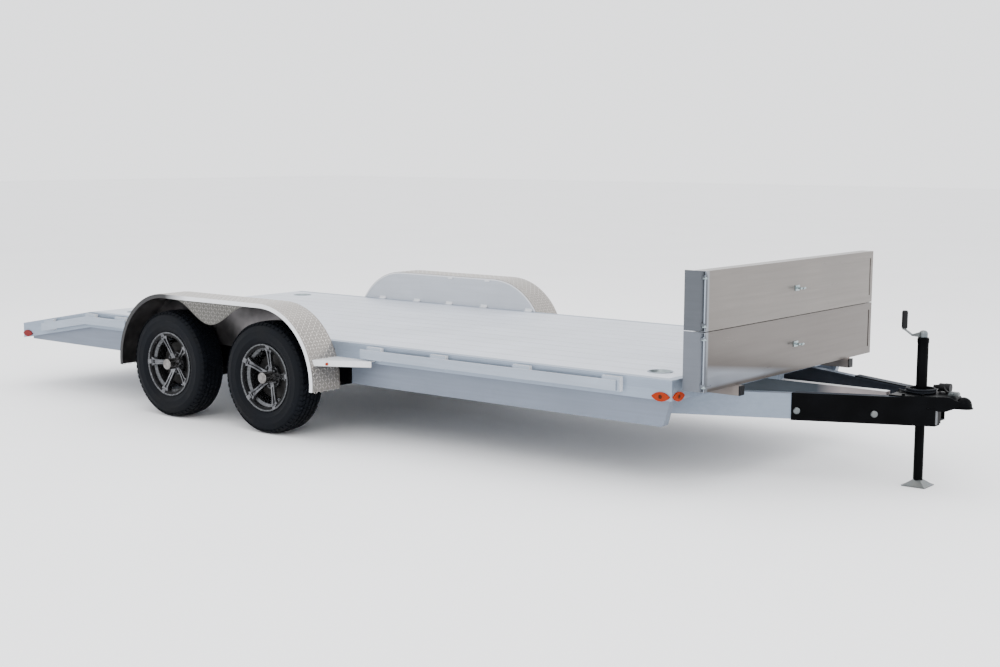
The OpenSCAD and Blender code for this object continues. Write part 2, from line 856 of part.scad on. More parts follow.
// Coupler: top plate over the tongue, cheeks round its nose, and the ball housing.
ball_x = x_tip - ball_back;
housing_r = socket_r + socket_wall;
housing_low = plate_top - 60;
cheek_t = 6;
nose_y = tongue_y(x_nose) + sleeve_out;
side_y = housing_r - cheek_t;

// The top's height along the coupler: flat, then one half wave of a cosine down to the
// housing's shoulder.
curve_back = 61;
curve_run = 55;
curve_steps = 8;
function coupler_top(x) =
    let (u = min(1, max(0, (x - ball_x + curve_back) / curve_run)))
    plate_top - coupler_drop * (1 - cos(180 * u)) / 2;
curve_x = [for (i = [0:curve_steps]) ball_x - curve_back + i * curve_run / curve_steps];

// Side view of the top sheet, and of a side wall under it with a bulging lower edge.
module top_section(x0) {
    line = concat([x0], curve_x, [ball_x]);
    n = len(line);
    polygon(concat([for (x = line) [x, coupler_top(x)]],
        [for (i = [n - 1:-1:0]) [line[i], coupler_top(line[i]) - plate_t]]));
}
module wall_section() {
    low = plate_z - cheek_h;
    x0 = x_nose + 0.3;
    bulge = 14;
    polygon(concat([[x0, plate_z]], [for (x = curve_x) [x, coupler_top(x) - 1]],
        [[ball_x, plate_top - coupler_drop - 1], [ball_x, low], [ball_x - 30, low],
         [ball_x - 62, low - bulge], [ball_x - 96, low - bulge], [x0, low + 4]]));
}

// Plan of the coupler from x0 to the ball, and of its two side walls.
module coupler_plan(x0) {
    y0 = tongue_y(x0) + sleeve_out;
    polygon([[x0, y0], [x_nose, nose_y], [ball_x, side_y],
        [ball_x, -side_y], [x_nose, -nose_y], [x0, -y0]]);
}
module wall_plan() {
    polygon([[x_nose + 0.3, nose_y], [ball_x, side_y], [ball_x, side_y - cheek_t],
        [x_nose + 0.3, nose_y - cheek_t]]);
}

dome_low = 16;
module housing_section() {
    square([housing_r, dome_low]);
    intersection() {
        translate([0, dome_low]) circle(housing_r, $fn = 96);
        square([housing_r, housing_r + dome_low]);
    }
}

module coupler() {
    reach = nose_y + tongue_w;
    color(black) difference() {
        union() {
            intersection() {
                along_y(-reach, reach) top_section(x_tip - plate_back);
                translate([0, 0, housing_low]) linear_extrude(2 * cheek_h)
                    coupler_plan(x_tip - plate_back);
            }
            both_sides() intersection() {
                along_y(0, reach) wall_section();
                translate([0, 0, housing_low - cheek_h]) linear_extrude(3 * cheek_h) wall_plan();
            }
            translate([ball_x, 0, housing_low]) {
                rotate_extrude($fn = 96) housing_section();
                cylinder(r = ball_back, h = 5, $fn = 64);
            }
        }
        translate([ball_x, 0, housing_low - eps])
            cylinder(r = socket_r, h = socket_depth + eps, $fn = 64);
        translate([x_jack, 0, plate_z - eps])
            cylinder(r = jack_r + 0.3, h = plate_t + 2 * eps, $fn = 64);
    }
}

// Latch: a block on the coupler's top behind the ball, with a curved finger hook.
latch_l = 60;
latch_h = 20;
finger_r = 44;
module coupler_latch() {
    x0 = ball_x - latch_l - 24;
    color(zinc) translate([0, 0, plate_top]) {
        along_y(-12, 12) polygon([[x0, 0], [x0 + latch_l, 0], [x0 + latch_l, latch_h - 8],
            [x0 + latch_l - 8, latch_h], [x0 + 14, latch_h], [x0, 8]]);
        along_y(-9, 9) translate([x0 + 16, 10 + finger_r]) polygon(concat(
            [for (i = [0:8]) finger_r * [cos(200 + 8 * i), sin(200 + 8 * i)]],
            [for (i = [8:-1:0]) (finger_r - 4) * [cos(200 + 8 * i), sin(200 + 8 * i)]]));
    }
}

// Jack: outer tube with a mounting flange, a leg with a foot, and a top crank.
jack_flange_r = 50;
module jack_tube() {
    bore = leg_r + leg_gap;
    color(black) translate([x_jack, 0, 0]) difference() {
        union() {
            translate([0, 0, jack_low]) cylinder(r = jack_r, h = jack_top - jack_low, $fn = 64);
            translate([0, 0, plate_top]) cylinder(r = jack_flange_r, h = 8, $fn = 64);
            translate([0, 0, jack_top - 26]) cylinder(r = jack_r + 2, h = 20, $fn = 64);
        }
        translate([0, 0, jack_low - eps])
            cylinder(r = bore, h = jack_top - jack_low - 8, $fn = 64);
    }
}

foot_t = 6;
pyramid_h = 32;
leg_in = 142;
module jack_leg() {
    top = jack_low + leg_in;
    color(zinc) translate([x_jack, 0, 0]) {
        translate([0, 0, foot_t / 2]) cube([foot_w, foot_w, foot_t], center = true);
        translate([0, 0, foot_t])
            polyhedron(
                points = concat(
                    [for (p = [[-1, -1], [1, -1], [1, 1], [-1, 1]])
                        [p[0] * 0.46 * foot_w, p[1] * 0.46 * foot_w, -eps]],
                    [for (p = [[-1, -1], [1, -1], [1, 1], [-1, 1]])
                        [p[0] * 14, p[1] * 14, pyramid_h]]),
                faces = [[0, 1, 2, 3], [4, 7, 6, 5], [0, 4, 5, 1], [1, 5, 6, 2],
                    [2, 6, 7, 3], [3, 7, 4, 0]]);
    }
    color(black) translate([x_jack, 0, foot_t + pyramid_h / 2])
        cylinder(r = leg_r, h = top - foot_t - pyramid_h / 2, $fn = 64);
}

// The crank's arm is a flat bar that dips from its hub and rises to the grip.
hub_h = 34;
arm_t = 7;
arm_root = 22;
arm_dip = 1;
arm_high = 33;
stud_r = 6;
grip_low = jack_top + arm_high + arm_t;
function arm_line(dz) =
    let (a = [0, arm_root + dz], b = [-crank_l / 2, dz - arm_dip], c = [-crank_l, arm_high + dz])
    concat([a], round_corner(a, b, c, 40, 6), [c]);
module jack_crank() {
    below = arm_line(0);
    color(zinc) translate([x_jack, 0, jack_top]) {
        cylinder(r = 14, h = hub_h - 6, $fn = 32);
        cylinder(r = 9, h = hub_h, $fn = 32);
        along_y(-9, 9)
            polygon(concat(arm_line(arm_t), [for (i = [len(below) - 1:-1:0]) below[i]]));
        translate([-crank_l, 0, arm_high])
            cylinder(r = stud_r, h = arm_t + grip_l - 12, $fn = 32);
        translate([-crank_l, 0, arm_high]) cylinder(r = 11, h = arm_t, $fn = 32);
    }
}

module jack_grip() {
    color(black) translate([x_jack - crank_l, 0, grip_low]) rotate_extrude($fn = 48)
        polygon([[stud_r + 0.3, 0], [grip_r - 3, 0], [grip_r, 4], [grip_r, grip_l - 6],
            [grip_r - 5, grip_l], [0, grip_l], [0, grip_l - 8], [stud_r + 0.3, grip_l - 8]]);
}

// A stored ramp, on its long edge: face sheet, flanges, ribs, a hook end at the right
// and a slotted toe end at the left.
clamp_hole = 7;
slot_l = 220;
slot_w = 14;
lug_z = [34, ramp_w - 34];
lug_r = 14;
module ramp(z0) {
    half = ramp_l / 2;
    inner = ramp_w - 2 * ramp_t;
    difference() {
        union() {
            translate([ramp_x - ramp_t, -half, z0]) cube([ramp_t, ramp_l, ramp_w]);
            for (z = [z0, z0 + ramp_w - ramp_t])
                translate([ramp_x - ramp_d, -half, z]) cube([ramp_d, ramp_l, ramp_t]);
            for (i = [0:rib_count - 1])
                translate([ramp_x - ramp_d + 12,
                    -half + ramp_l * (i + 0.5) / rib_count - ramp_t / 2 + 40, z0 + ramp_t - eps])
                    cube([ramp_d - 12 - ramp_t + eps, ramp_t, inner + 2 * eps]);
            translate([ramp_x - ramp_d, half - ramp_t, z0]) cube([ramp_d, ramp_t, ramp_w]);
            translate([0, 0, z0]) linear_extrude(ramp_w)
                polygon(concat([[ramp_x - ramp_end_d, -half + 6], [ramp_x - ramp_end_d, -half]],
                    round_corner([ramp_x - ramp_end_d, -half], [ramp_x - 30, -half],
                        [ramp_x, -half + 30], 20),
                    [[ramp_x, -half + 30], [ramp_x - 6, -half + 36], [ramp_x - 34, -half + 6]]));
            for (z = lug_z)
                translate([ramp_x - 12, -half + 8, z0 + z])
                    cylinder(r = lug_r, h = 14, center = true, $fn = 32);
        }
        translate([ramp_x - ramp_t - eps, half - 38 - slot_w / 2, z0 + (ramp_w - slot_l) / 2])
            cube([ramp_t + 2 * eps, slot_w, slot_l]);
        translate([ramp_x - ramp_t - eps, 0, z0 + ramp_w / 2])
            rotate([0, 90, 0]) cylinder(r = clamp_hole, h = ramp_t + 2 * eps, $fn = 32);
    }
    translate([ramp_x - 6, -half + 4, z0 + lug_z[0] - 12])
        cylinder(r = rod_r, h = lug_z[1] - lug_z[0] + 24, $fn = 32);
}

module ramp_upper() {
    color(alu_warm) ramp(ramp_high_z);
}

module ramp_lower() {
    color(alu_warm) ramp(ramp_low_z);
}

// What holds the ramps: two square tubes under them and a post behind their middle.
post_w = 50;
module ramp_rests() {
    wall = 4;
    color(alu) {
        both_sides() along_x(x_front, x_front + rest_reach)
            translate([rest_y, rest_top - rest_w / 2]) difference() {
                square(rest_w, center = true);
                square(rest_w - 2 * wall, center = true);
            }
        translate([x_front, -post_w / 2, beam_top])
            cube([ramp_ahead - ramp_d - 0.3, post_w, ramp_high_z + ramp_w - 40 - beam_top]);
    }
}

module rest_caps() {
    x1 = x_front + rest_reach;
    color("#1c1c1e") both_sides() {
        along_x(x1, x1 + 6) translate([rest_y, rest_top - rest_w / 2])
            square(rest_w, center = true);
        along_x(x1 - 20, x1 + eps) translate([rest_y, rest_top - rest_w / 2])
            square(rest_w - 8.6, center = true);
    }
}

// Wing clamps through the ramps' middle.
module ramp_clamps() {
    x_post = x_front + ramp_ahead - ramp_d - 0.3;
    color(zinc) for (z = [ramp_low_z, ramp_high_z])
        translate([0, 0, z + ramp_w / 2]) {
            translate([x_post, 0, 0]) rotate([0, 90, 0]) cylinder(r = 6, h = ramp_d + 46, $fn = 32);
            translate([ramp_x + 0.3, -24, -15]) cube([5, 48, 30]);
            translate([ramp_x + 34, 0, 0]) rotate([90, 0, 0])
                cylinder(r = 5.5, h = 64, center = true, $fn = 32);
        }
}

// Amber lamps: on the side rails, on the front rail and on the step brackets.
step_lamp_r = 9;
module marker_lamps() {
    z = deck_z - 88;
    p = step_in + 0.3 * (step_tip - step_in);
    color("orange") both_sides() {
        translate([x_front - 63, edge, z]) rotate([-90, 0, 0]) linear_extrude(lamp_proud)
            lens(marker_l, marker_h);
        translate([x_front, edge - 60, z]) rotate([90, 0, 90]) linear_extrude(lamp_proud)
            lens(marker_l, marker_h);
        translate([p[0], p[1], step_top - step_h / 2 - 4])
            rotate([0, 90, atan2(step_out[1], step_out[0])])
                cylinder(r = step_lamp_r, h = lamp_proud, $fn = 32);
    }
}

// Red lamps: wrap-round ones on the sides, stop and marker lamps in the rear rail.
module tail_lamps() {
    color("crimson") {
        both_sides() translate([x_rear + 57, edge, deck_top(x_rear + 57) - rail_h + 26])
            rotate([-90, 0, 0]) linear_extrude(lamp_proud) lens(marker_l, marker_h);
        along_x(x_rear, x_rear + 34) tail_outlines(0);
    }
}

// Tie-downs: a dish let into the deck with a ring lying in it.
module tie_downs() {
    ring_r = 36;
    wire = 6;
    color(zinc) dish_places() {
        rotate_extrude($fn = 64) polygon([[0, -dish_depth], [dish_r - 14, -dish_depth],
            [dish_r - 6, -3], [dish_r - 6, 0], [dish_r, 0], [dish_r, 3], [dish_r - 9, 3],
            [dish_r - 17, 3 - dish_depth], [0, 3 - dish_depth]]);
        translate([0, 0, 3 - dish_depth + wire - 0.5]) rotate_extrude($fn = 48)
            translate([ring_r, 0]) circle(wire, $fn = 16);
    }
}

// Light lead: out of the centre beam's front end, up on to the coupler's plate and round
// the jack, with its plug beside the coil.
lead_z = plate_top + lead_d / 2;
x_exit = x_tip - centre_back;
lead_points = [
    [x_exit - 30, 0, beam_top - 25],
    [x_exit + 10, 0, beam_top - 25],
    [x_exit + 35, -8, beam_top - 18],
    [x_exit + 60, -22, beam_top + 2],
    [x_exit + 78, -36, lead_z + 2],
    [x_exit + 100, -52, lead_z],
    [x_exit + 122, -62, lead_z]];

// A tube of eight sides swept along a row of points.
function tangent(p, i) = unit(p[min(i + 1, len(p) - 1)] - p[max(i - 1, 0)]);
function ring(p, i, r) =
    let (t = tangent(p, i), a = unit(cross(t, [0, 0, 1])), b = cross(a, t))
    [for (k = [0:7]) p[i] + r * (cos(45 * k) * a + sin(45 * k) * b)];

module sweep(p, r) {
    n = len(p);
    polyhedron(
        points = [for (i = [0:n - 1]) each ring(p, i, r)],
        faces = concat(
            [[for (k = [0:7]) k]],
            [[for (k = [7:-1:0]) 8 * (n - 1) + k]],
            [for (i = [0:n - 2], k = [0:7])
                [8 * i + k, 8 * (i + 1) + k, 8 * (i + 1) + (k + 1) % 8, 8 * i + (k + 1) % 8]]));
}

module lead_tube() {
    color("#1c1c1e") sweep(lead_points, lead_d / 2);
}

module lead_coil() {
    color("#1c1c1e") translate([x_jack, 0, plate_top])
        rotate_extrude($fn = 64)
            translate([coil_r - lead_d, 0]) square([2 * lead_d, coil_h]);
}

plug_r = 23;
plug_l = 92;
module lead_plug() {
    x0 = x_jack + 32;
    y0 = coil_r + lead_d + 5;
    color("#1c1c1e") translate([x0, y0, plate_top + plug_r + 0.3]) rotate([0, 90, 0])
        rotate_extrude($fn = 48)
            polygon([[0, 0], [9, 0], [12, 24], [plug_r - 2, 34], [plug_r - 2, 62],
                [plug_r, 64], [plug_r, plug_l], [0, plug_l]]);
}

frame_beams();
side_rails();
front_rail();
rear_rail();
crossmembers();
deck_planks();
dovetail_planks();
rub_rails();
fender_right();
fender_left();
fender_panels();
fender_steps();
axle_plates();
axle_front();
axle_rear();
tyre_front_right();
tyre_front_left();
tyre_rear_right();
tyre_rear_left();
wheel_front_right();
wheel_front_left();
wheel_rear_right();
wheel_rear_left();
drum_front_right();
drum_front_left();
drum_rear_right();
drum_rear_left();
tongue_rails();
centre_beam();
tongue_sleeves();
coupler();
coupler_latch();
jack_tube();
jack_leg();
jack_crank();
jack_grip();
ramp_upper();
ramp_lower();
ramp_rests();
rest_caps();
ramp_clamps();
marker_lamps();
tail_lamps();
tie_downs();
lead_tube();
lead_coil();
lead_plug();
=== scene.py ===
"""Looks of the car hauler trailer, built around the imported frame. Lengths are in metres."""
import json
import math

import bpy
from mathutils import Matrix, Vector


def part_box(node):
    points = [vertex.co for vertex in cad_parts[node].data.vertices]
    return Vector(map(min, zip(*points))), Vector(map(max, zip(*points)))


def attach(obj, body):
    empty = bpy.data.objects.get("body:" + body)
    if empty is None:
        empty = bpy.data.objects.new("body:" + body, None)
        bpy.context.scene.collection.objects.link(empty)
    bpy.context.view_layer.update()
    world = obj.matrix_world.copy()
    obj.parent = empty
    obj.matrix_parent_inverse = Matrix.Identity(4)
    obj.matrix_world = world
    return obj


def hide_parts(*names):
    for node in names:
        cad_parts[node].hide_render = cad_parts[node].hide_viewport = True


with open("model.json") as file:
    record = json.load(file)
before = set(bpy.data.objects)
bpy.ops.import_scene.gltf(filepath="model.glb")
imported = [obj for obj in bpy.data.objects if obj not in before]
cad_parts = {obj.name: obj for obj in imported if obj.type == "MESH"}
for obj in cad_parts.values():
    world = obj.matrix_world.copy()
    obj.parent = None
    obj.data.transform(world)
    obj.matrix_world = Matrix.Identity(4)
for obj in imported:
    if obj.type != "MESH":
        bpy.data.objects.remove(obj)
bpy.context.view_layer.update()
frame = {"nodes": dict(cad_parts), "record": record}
NODES = frame["nodes"]

TRAILER = "trailer"
SIDES = (("right", -1), ("left", 1))
AXLES = ("front", "rear")
RAMPS = ("ramp_upper", "ramp_lower")


def middle(node):
    lo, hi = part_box(node)
    return (lo + hi) / 2


# Places that the frame gives. The first three are the deck's front edge, left edge and top.
X_FRONT, EDGE, DECK_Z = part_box("side_rails")[1]
BEAM_LOW, BEAM_TOP = (corner.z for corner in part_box("frame_beams"))
PLATE_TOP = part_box("lead_coil")[0].z
X_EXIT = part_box("centre_beam")[1].x
X_JACK = middle("jack_leg").x
FRONT_AXLE, REAR_AXLE = middle("tyre_front_right"), middle("tyre_rear_right")
MID_AXLE = (FRONT_AXLE.x + REAR_AXLE.x) / 2


def place_in_scene(name, data):
    obj = bpy.data.objects.new(name, data)
    bpy.context.scene.collection.objects.link(obj)
    return obj


# Camera, at the photograph's viewing angle

CAMERA_PLACE = Vector((6.0455, -7.2470, 1.7340))
CAMERA_YAW, CAMERA_PITCH, CAMERA_ROLL = 38.417, 7.167, 0.266
CAMERA_LENS, SENSOR, CAMERA_REACH = 52.93, 36.0, 200


def add_camera():
    yaw, pitch, roll = (math.radians(a) for a in (CAMERA_YAW, CAMERA_PITCH, CAMERA_ROLL))
    ahead = Vector((-math.sin(yaw) * math.cos(pitch), math.cos(yaw) * math.cos(pitch),
                    -math.sin(pitch)))
    across = Vector((math.cos(yaw), math.sin(yaw), 0))
    up = across.cross(ahead)
    right = math.cos(roll) * across + math.sin(roll) * up
    up = math.cos(roll) * up - math.sin(roll) * across
    data = bpy.data.cameras.new("camera")
    data.lens, data.sensor_width, data.sensor_fit = CAMERA_LENS, SENSOR, "HORIZONTAL"
    data.clip_end = CAMERA_REACH
    camera = place_in_scene("camera", data)
    turn = Matrix((right, up, -ahead)).transposed().to_4x4()
    camera.matrix_world = Matrix.Translation(CAMERA_PLACE) @ turn
    bpy.context.scene.camera = camera


# Mesh helpers


def mesh_object(name, verts, faces, mat, smooth=False):
    mesh = bpy.data.meshes.new(name)
    mesh.from_pydata([tuple(v) for v in verts], [], faces)
    mesh.validate()
    mesh.materials.append(mat)
    mesh.polygons.foreach_set("use_smooth", [smooth] * len(mesh.polygons))
    return place_in_scene(name, mesh)


# Faces of a box with its corners in the order of X, Y and Z, and of one whose corners go
# round one end and then the other.
BLOCK_FACES = ((0, 2, 3, 1), (4, 5, 7, 6), (0, 1, 5, 4), (2, 6, 7, 3), (0, 4, 6, 2),
               (1, 3, 7, 5))
RING_FACES = ((0, 3, 2, 1), (4, 5, 6, 7), (0, 1, 5, 4), (1, 2, 6, 5), (2, 3, 7, 6),
              (3, 0, 4, 7))


class Pile:
    """Many small solids gathered into one mesh."""

    def __init__(self):
        self.verts, self.faces = [], []

    def add(self, verts, faces, place=Matrix.Identity(4)):
        base = len(self.verts)
        self.verts += [place @ Vector(v) for v in verts]
        self.faces += [[base + i for i in face] for face in faces]

    def lathe(self, profile, place, steps=24):
        """Turns (radius, height) points round the place's own Z; ends on the axis are closed."""
        verts, rings = [], []
        for r, z in profile:
            if r == 0:
                rings.append([len(verts)] * steps)
                verts.append((0, 0, z))
                continue
            rings.append([len(verts) + k for k in range(steps)])
            verts += [(r * math.cos(2 * math.pi * k / steps),
                       r * math.sin(2 * math.pi * k / steps), z) for k in range(steps)]
        faces = []
        for a, b in zip(rings, rings[1:]):
            for k in range(steps):
                m = (k + 1) % steps
                corners = list(dict.fromkeys((a[k], a[m], b[m], b[k])))
                if len(corners) > 2:
                    faces.append(corners)
        self.add(verts, faces, place)

    def block(self, lo, hi):
        x, y, z = zip(lo, hi)
        verts = [(x[i], y[j], z[k]) for k in (0, 1) for j in (0, 1) for i in (0, 1)]
        self.add(verts, BLOCK_FACES)

    def piece(self, name, body, slot, mat, smooth=False):
        obj = mesh_object(name, self.verts, self.faces, mat, smooth=smooth)
        return dress(obj, body)


def dress(obj, body):
    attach(obj, body)
    return obj


def frame_at(point, normal, along=(0, 0, 1)):
    """A placement whose Z is the normal and whose X lies as near to along as it can."""
    n = Vector(normal).normalized()
    x = Vector(along) - n * n.dot(Vector(along))
    if x.length < 1e-4:
        x = Vector((1, 0, 0)) - n * n.x
    x.normalize()
    turn = Matrix((x, n.cross(x), n)).transposed().to_4x4()
    return Matrix.Translation(Vector(point)) @ turn


def soften(obj, width, angle, slot):
    """Rounds the edges sharper than an angle, with the material of a slot."""
    bevel = obj.modifiers.new("edges", "BEVEL")
    bevel.width, bevel.segments, bevel.material = width, 2, slot
    bevel.limit_method, bevel.angle_limit = "ANGLE", math.radians(angle)
    bevel.harden_normals = False


# Materials


class Look:
    """A node-based material: a Principled shader and short calls that feed it."""

    def __init__(self, name, color, rough, metal=0.0, **sockets):
        self.mat = bpy.data.materials.new(name)
        self.mat.use_nodes = True
        self.tree = self.mat.node_tree
        self.shader = self.tree.nodes["Principled BSDF"]
        self.shader.inputs["Metallic"].default_value = metal
        self.shader.inputs["Base Color"].default_value = (*color, 1)
        self.shader.inputs["Roughness"].default_value = rough
        for socket, value in sockets.items():
            self.shader.inputs[socket.replace("_", " ")].default_value = value
        coords = self.node("ShaderNodeTexCoord")
        self.place = coords.outputs["Object"]
        self.normal = None

    def node(self, kind, **props):
        made = self.tree.nodes.new(kind)
        for key, value in props.items():
            setattr(made, key, value)
        return made

    def link(self, a, b):
        self.tree.links.new(a, b)

    def stretched(self, scale):
        mapping = self.node("ShaderNodeMapping")
        mapping.inputs["Scale"].default_value = scale
        self.link(self.place, mapping.inputs["Vector"])
        return mapping.outputs["Vector"]

    def noise(self, scale, stretch=(1, 1, 1), detail=3.0, rough=0.55):
        made = self.node("ShaderNodeTexNoise")
        made.inputs["Scale"].default_value = scale
        made.inputs["Detail"].default_value = detail
        made.inputs["Roughness"].default_value = rough
        self.link(self.stretched(stretch), made.inputs["Vector"])
        return made.outputs["Fac"]

    def wave(self, letter, pitch):
        """A cosine along an axis, which is 1 at each whole pitch."""
        return self.math("COSINE", self.math("MULTIPLY", self.axis(letter),
                                             2 * math.pi / pitch))

    def lines(self, letter, pitch, sharp):
        """Regular grooves across an axis: 0 in a groove and 1 between two."""
        return self.ramp(self.wave(letter, pitch), (-1, 0), (-1 + 2 * sharp, 1))

    def math(self, operation, a, b=0.0):
        made = self.node("ShaderNodeMath", operation=operation)
        for socket, value in zip(made.inputs, (a, b)):
            if hasattr(value, "default_value"):
                self.link(value, socket)
            else:
                socket.default_value = value
        return made.outputs[0]

    def axis(self, letter):
        split = self.node("ShaderNodeSeparateXYZ")
        self.link(self.place, split.inputs[0])
        return split.outputs[letter]

    def ramp(self, value, low, high):
        """Maps a value from low = (in, out) to high = (in, out), clamped."""
        made = self.node("ShaderNodeMapRange")
        for key, number in (("From Min", low[0]), ("From Max", high[0]),
                            ("To Min", low[1]), ("To Max", high[1])):
            made.inputs[key].default_value = number
        self.link(value, made.inputs["Value"])
        return made.outputs["Result"]

    def mix(self, fac, a, b):
        made = self.node("ShaderNodeMix", data_type="RGBA")
        self.link(fac, made.inputs["Factor"])
        for socket, value in ((made.inputs[6], a), (made.inputs[7], b)):
            if hasattr(value, "default_value"):
                self.link(value, socket)
            else:
                socket.default_value = (*value, 1)
        return made.outputs[2]

    def set_color(self, value):
        self.link(value, self.shader.inputs["Base Color"])

    def set_rough(self, value):
        self.link(value, self.shader.inputs["Roughness"])

    def tone(self):
        """The colour that feeds the shader so far."""
        return self.shader.inputs["Base Color"].links[0].from_socket

    def mottle(self, value, low, high, dark, light):
        """Colours the surface from dark to light as a value goes from low to high."""
        self.set_color(self.mix(self.ramp(value, (low, 0), (high, 1)), dark, light))

    def bump(self, height, distance, strength=1.0):
        made = self.node("ShaderNodeBump")
        made.inputs["Distance"].default_value = distance
        made.inputs["Strength"].default_value = strength
        self.link(height, made.inputs["Height"])
        if self.normal is not None:
            self.link(self.normal, made.inputs["Normal"])
        self.normal = made.outputs["Normal"]
        self.link(self.normal, self.shader.inputs["Normal"])


def shade(color, factor):
    return tuple(c * factor for c in color)


# Stretch of a metal's drawing lines, out along an axis or the same all ways.
GRAIN_X, GRAIN_DECK, GRAIN_Y, NO_GRAIN = (0.04, 1, 1), (0.03, 1, 1), (1, 0.03, 1), (1, 1, 1)
CLOUD_SCALE, DRAW_SCALE, SCUFF_SCALE = 2.2, 60, 9


def aluminium(name, color, rough=0.42, grain=GRAIN_X, metal=0.55):
    """Mill-finish aluminium: cloudy tone, drawing lines along the grain and scattered scuffs."""
    look = Look(name, color, rough, metal)
    cloud = look.noise(CLOUD_SCALE, detail=4)
    draw = look.noise(DRAW_SCALE, grain, detail=2)
    scuff = look.ramp(look.noise(SCUFF_SCALE, detail=6, rough=0.7), (0.56, 0), (0.72, 1))
    tone = look.mix(look.ramp(cloud, (0.3, 0), (0.7, 1)), shade(color, 0.9), shade(color, 1.06))
    tone = look.mix(look.ramp(draw, (0.35, 0), (0.65, 0.35)), tone, shade(color, 0.84))
    look.set_color(look.mix(look.math("MULTIPLY", scuff, 0.35), tone, shade(color, 0.8)))
    look.set_rough(look.ramp(look.math("ADD", draw, cloud), (0.6, rough - 0.08),
                             (1.4, rough + 0.1)))
    look.bump(draw, 0.0004, 0.35)
    return look


# Colours of the metals, as the photograph's light shows them.
FRAME_COLOR = (0.242, 0.290, 0.360)
BEAM_COLOR = (0.160, 0.187, 0.234)
PANEL_COLOR = (0.45, 0.475, 0.515)
RUB_COLOR = (0.30, 0.345, 0.41)
TONGUE_COLOR = (0.205, 0.245, 0.305)
# The ramp rests' dark tone is painted shade.
REST_SHADE_COLOR = (0.20, 0.175, 0.16)
DISH_COLOR = (0.27, 0.31, 0.32)
ZINC_COLORS = ((0.095, 0.113, 0.123), (0.135, 0.14, 0.133), (0.17, 0.18, 0.185))
PIN_COLORS = ((0.26, 0.33, 0.35), (0.34, 0.40, 0.41), (0.42, 0.47, 0.48))
DECK_COLOR = (0.53, 0.56, 0.62)
SEAM_COLOR = (0.30, 0.27, 0.245)
TREAD_COLOR = (0.255, 0.236, 0.217)
LUG_COLOR = (0.44, 0.412, 0.382)
SHADE_TREAD_COLOR = (0.078, 0.075, 0.068)
SHADE_LUG_COLOR = (0.165, 0.158, 0.148)
# The ramps' tan is a painted reflection; the lower ramp's darker tone is painted shade and its
# foot's cool tone a painted sheen.
RAMP_COLOR = (0.193, 0.176, 0.161)
RAMP_LOW_SHADE_COLOR = (0.125, 0.111, 0.102)
RAMP_STRIP_COLOR = (0.225, 0.237, 0.258)
RAMP_FOOT_SHEEN_COLOR = (0.33, 0.355, 0.40)
# The ramps' dark ends are painted shade, lighter on the lower ramp.
RAMP_END_SHADE_COLOR = (0.074, 0.082, 0.095)
RAMP_END_LOW_SHADE_COLOR = (0.118, 0.130, 0.152)
BRIGHT_COLOR = (0.66, 0.67, 0.69)
# Painted shade on the rear part of the fenders' lips.
LIP_SHADE_COLOR = (0.006, 0.006, 0.007)
BLACK_COLOR = (0.0007, 0.0008, 0.0011)
BLACK_DUST_COLOR = (0.006, 0.0065, 0.008)
# A greyer black: on the sleeves' tops, and as painted shade on the tongue rails' inner faces.
GREY_BLACK_COLORS = ((0.022, 0.026, 0.034), (0.045, 0.050, 0.060))
RUBBER_COLOR = (0.0018, 0.0025, 0.0040)
LEAD_COLOR = (0.0040, 0.0050, 0.0070)
# Darkest and lightest tone of a shaded, cast or moulded surface; the fenders' inner side and the
# centre beam's sides carry painted shade.
INSIDE_COLORS = ((0.014, 0.014, 0.015), (0.125, 0.118, 0.120))
BEAM_SIDE_SHADE_COLORS = ((0.055, 0.068, 0.082), (0.42, 0.375, 0.375))
ALLOY_COLORS = ((0.040, 0.041, 0.044), (0.085, 0.087, 0.092))
IRON_COLORS = ((0.007, 0.007, 0.007), (0.018, 0.017, 0.016))
PLASTIC_COLORS = ((0.005, 0.005, 0.006), (0.009, 0.009, 0.010))
# A lens's colour, and its darker tone between the ribs.
AMBER_COLORS = ((0.34, 0.028, 0.0001), (0.16, 0.010, 0.0001))
RED_COLORS = ((0.21, 0.003, 0.004), (0.08, 0.001, 0.002))
BULB_COLORS = ((0.06, 0.010, 0.001), (0.03, 0.005, 0.001))
# Polished metals as (dark tone, light tone, roughness, scale of the haze); the rim's shelf is
# darkened as painted shade.
POLISHED = {
    "machined_alloy": ((0.26, 0.262, 0.27), (0.46, 0.465, 0.48), 0.22, 220),
    "rim_lip": ((0.050, 0.052, 0.055), (0.105, 0.108, 0.114), 0.24, 60),
    "nut_chrome": ((0.045, 0.046, 0.049), (0.085, 0.087, 0.092), 0.26, 90),
    "spoke_face": ((0.045, 0.046, 0.050), (0.150, 0.153, 0.163), 0.24, 26),
    "chrome_cap": ((0.11, 0.104, 0.10), (0.22, 0.212, 0.207), 0.16, 40),
    "rim_shelf_painted_shade": ((0.0035, 0.0036, 0.0040), (0.008, 0.0082, 0.009), 0.35, 40),
}


def frame_look(name, color):
    return aluminium(name, color).mat


PLANK_PITCH = 0.16183
RIB_PITCH = 0.0132


def deck_look():
    """Ribbed planks, with a brownish line along each seam."""
    look = aluminium("deck_aluminium", DECK_COLOR, 0.45, GRAIN_DECK)
    near_seam = look.ramp(look.wave("Y", PLANK_PITCH), (0.982, 0), (0.999, 1))
    look.set_color(look.mix(look.math("MULTIPLY", near_seam, 0.55), look.tone(), SEAM_COLOR))
    look.bump(look.lines("Y", RIB_PITCH, 0.35), 0.0008, 0.5)
    return look.mat


def tread_look(name, color):
    return aluminium(name, color, 0.30, NO_GRAIN, metal=0.6).mat


END_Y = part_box("ramp_upper")[0].y
FOOT_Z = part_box("ramp_lower")[0].z
SEAM_LOW, SEAM_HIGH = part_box("ramp_lower")[1].z - 0.001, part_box("ramp_upper")[0].z + 0.001
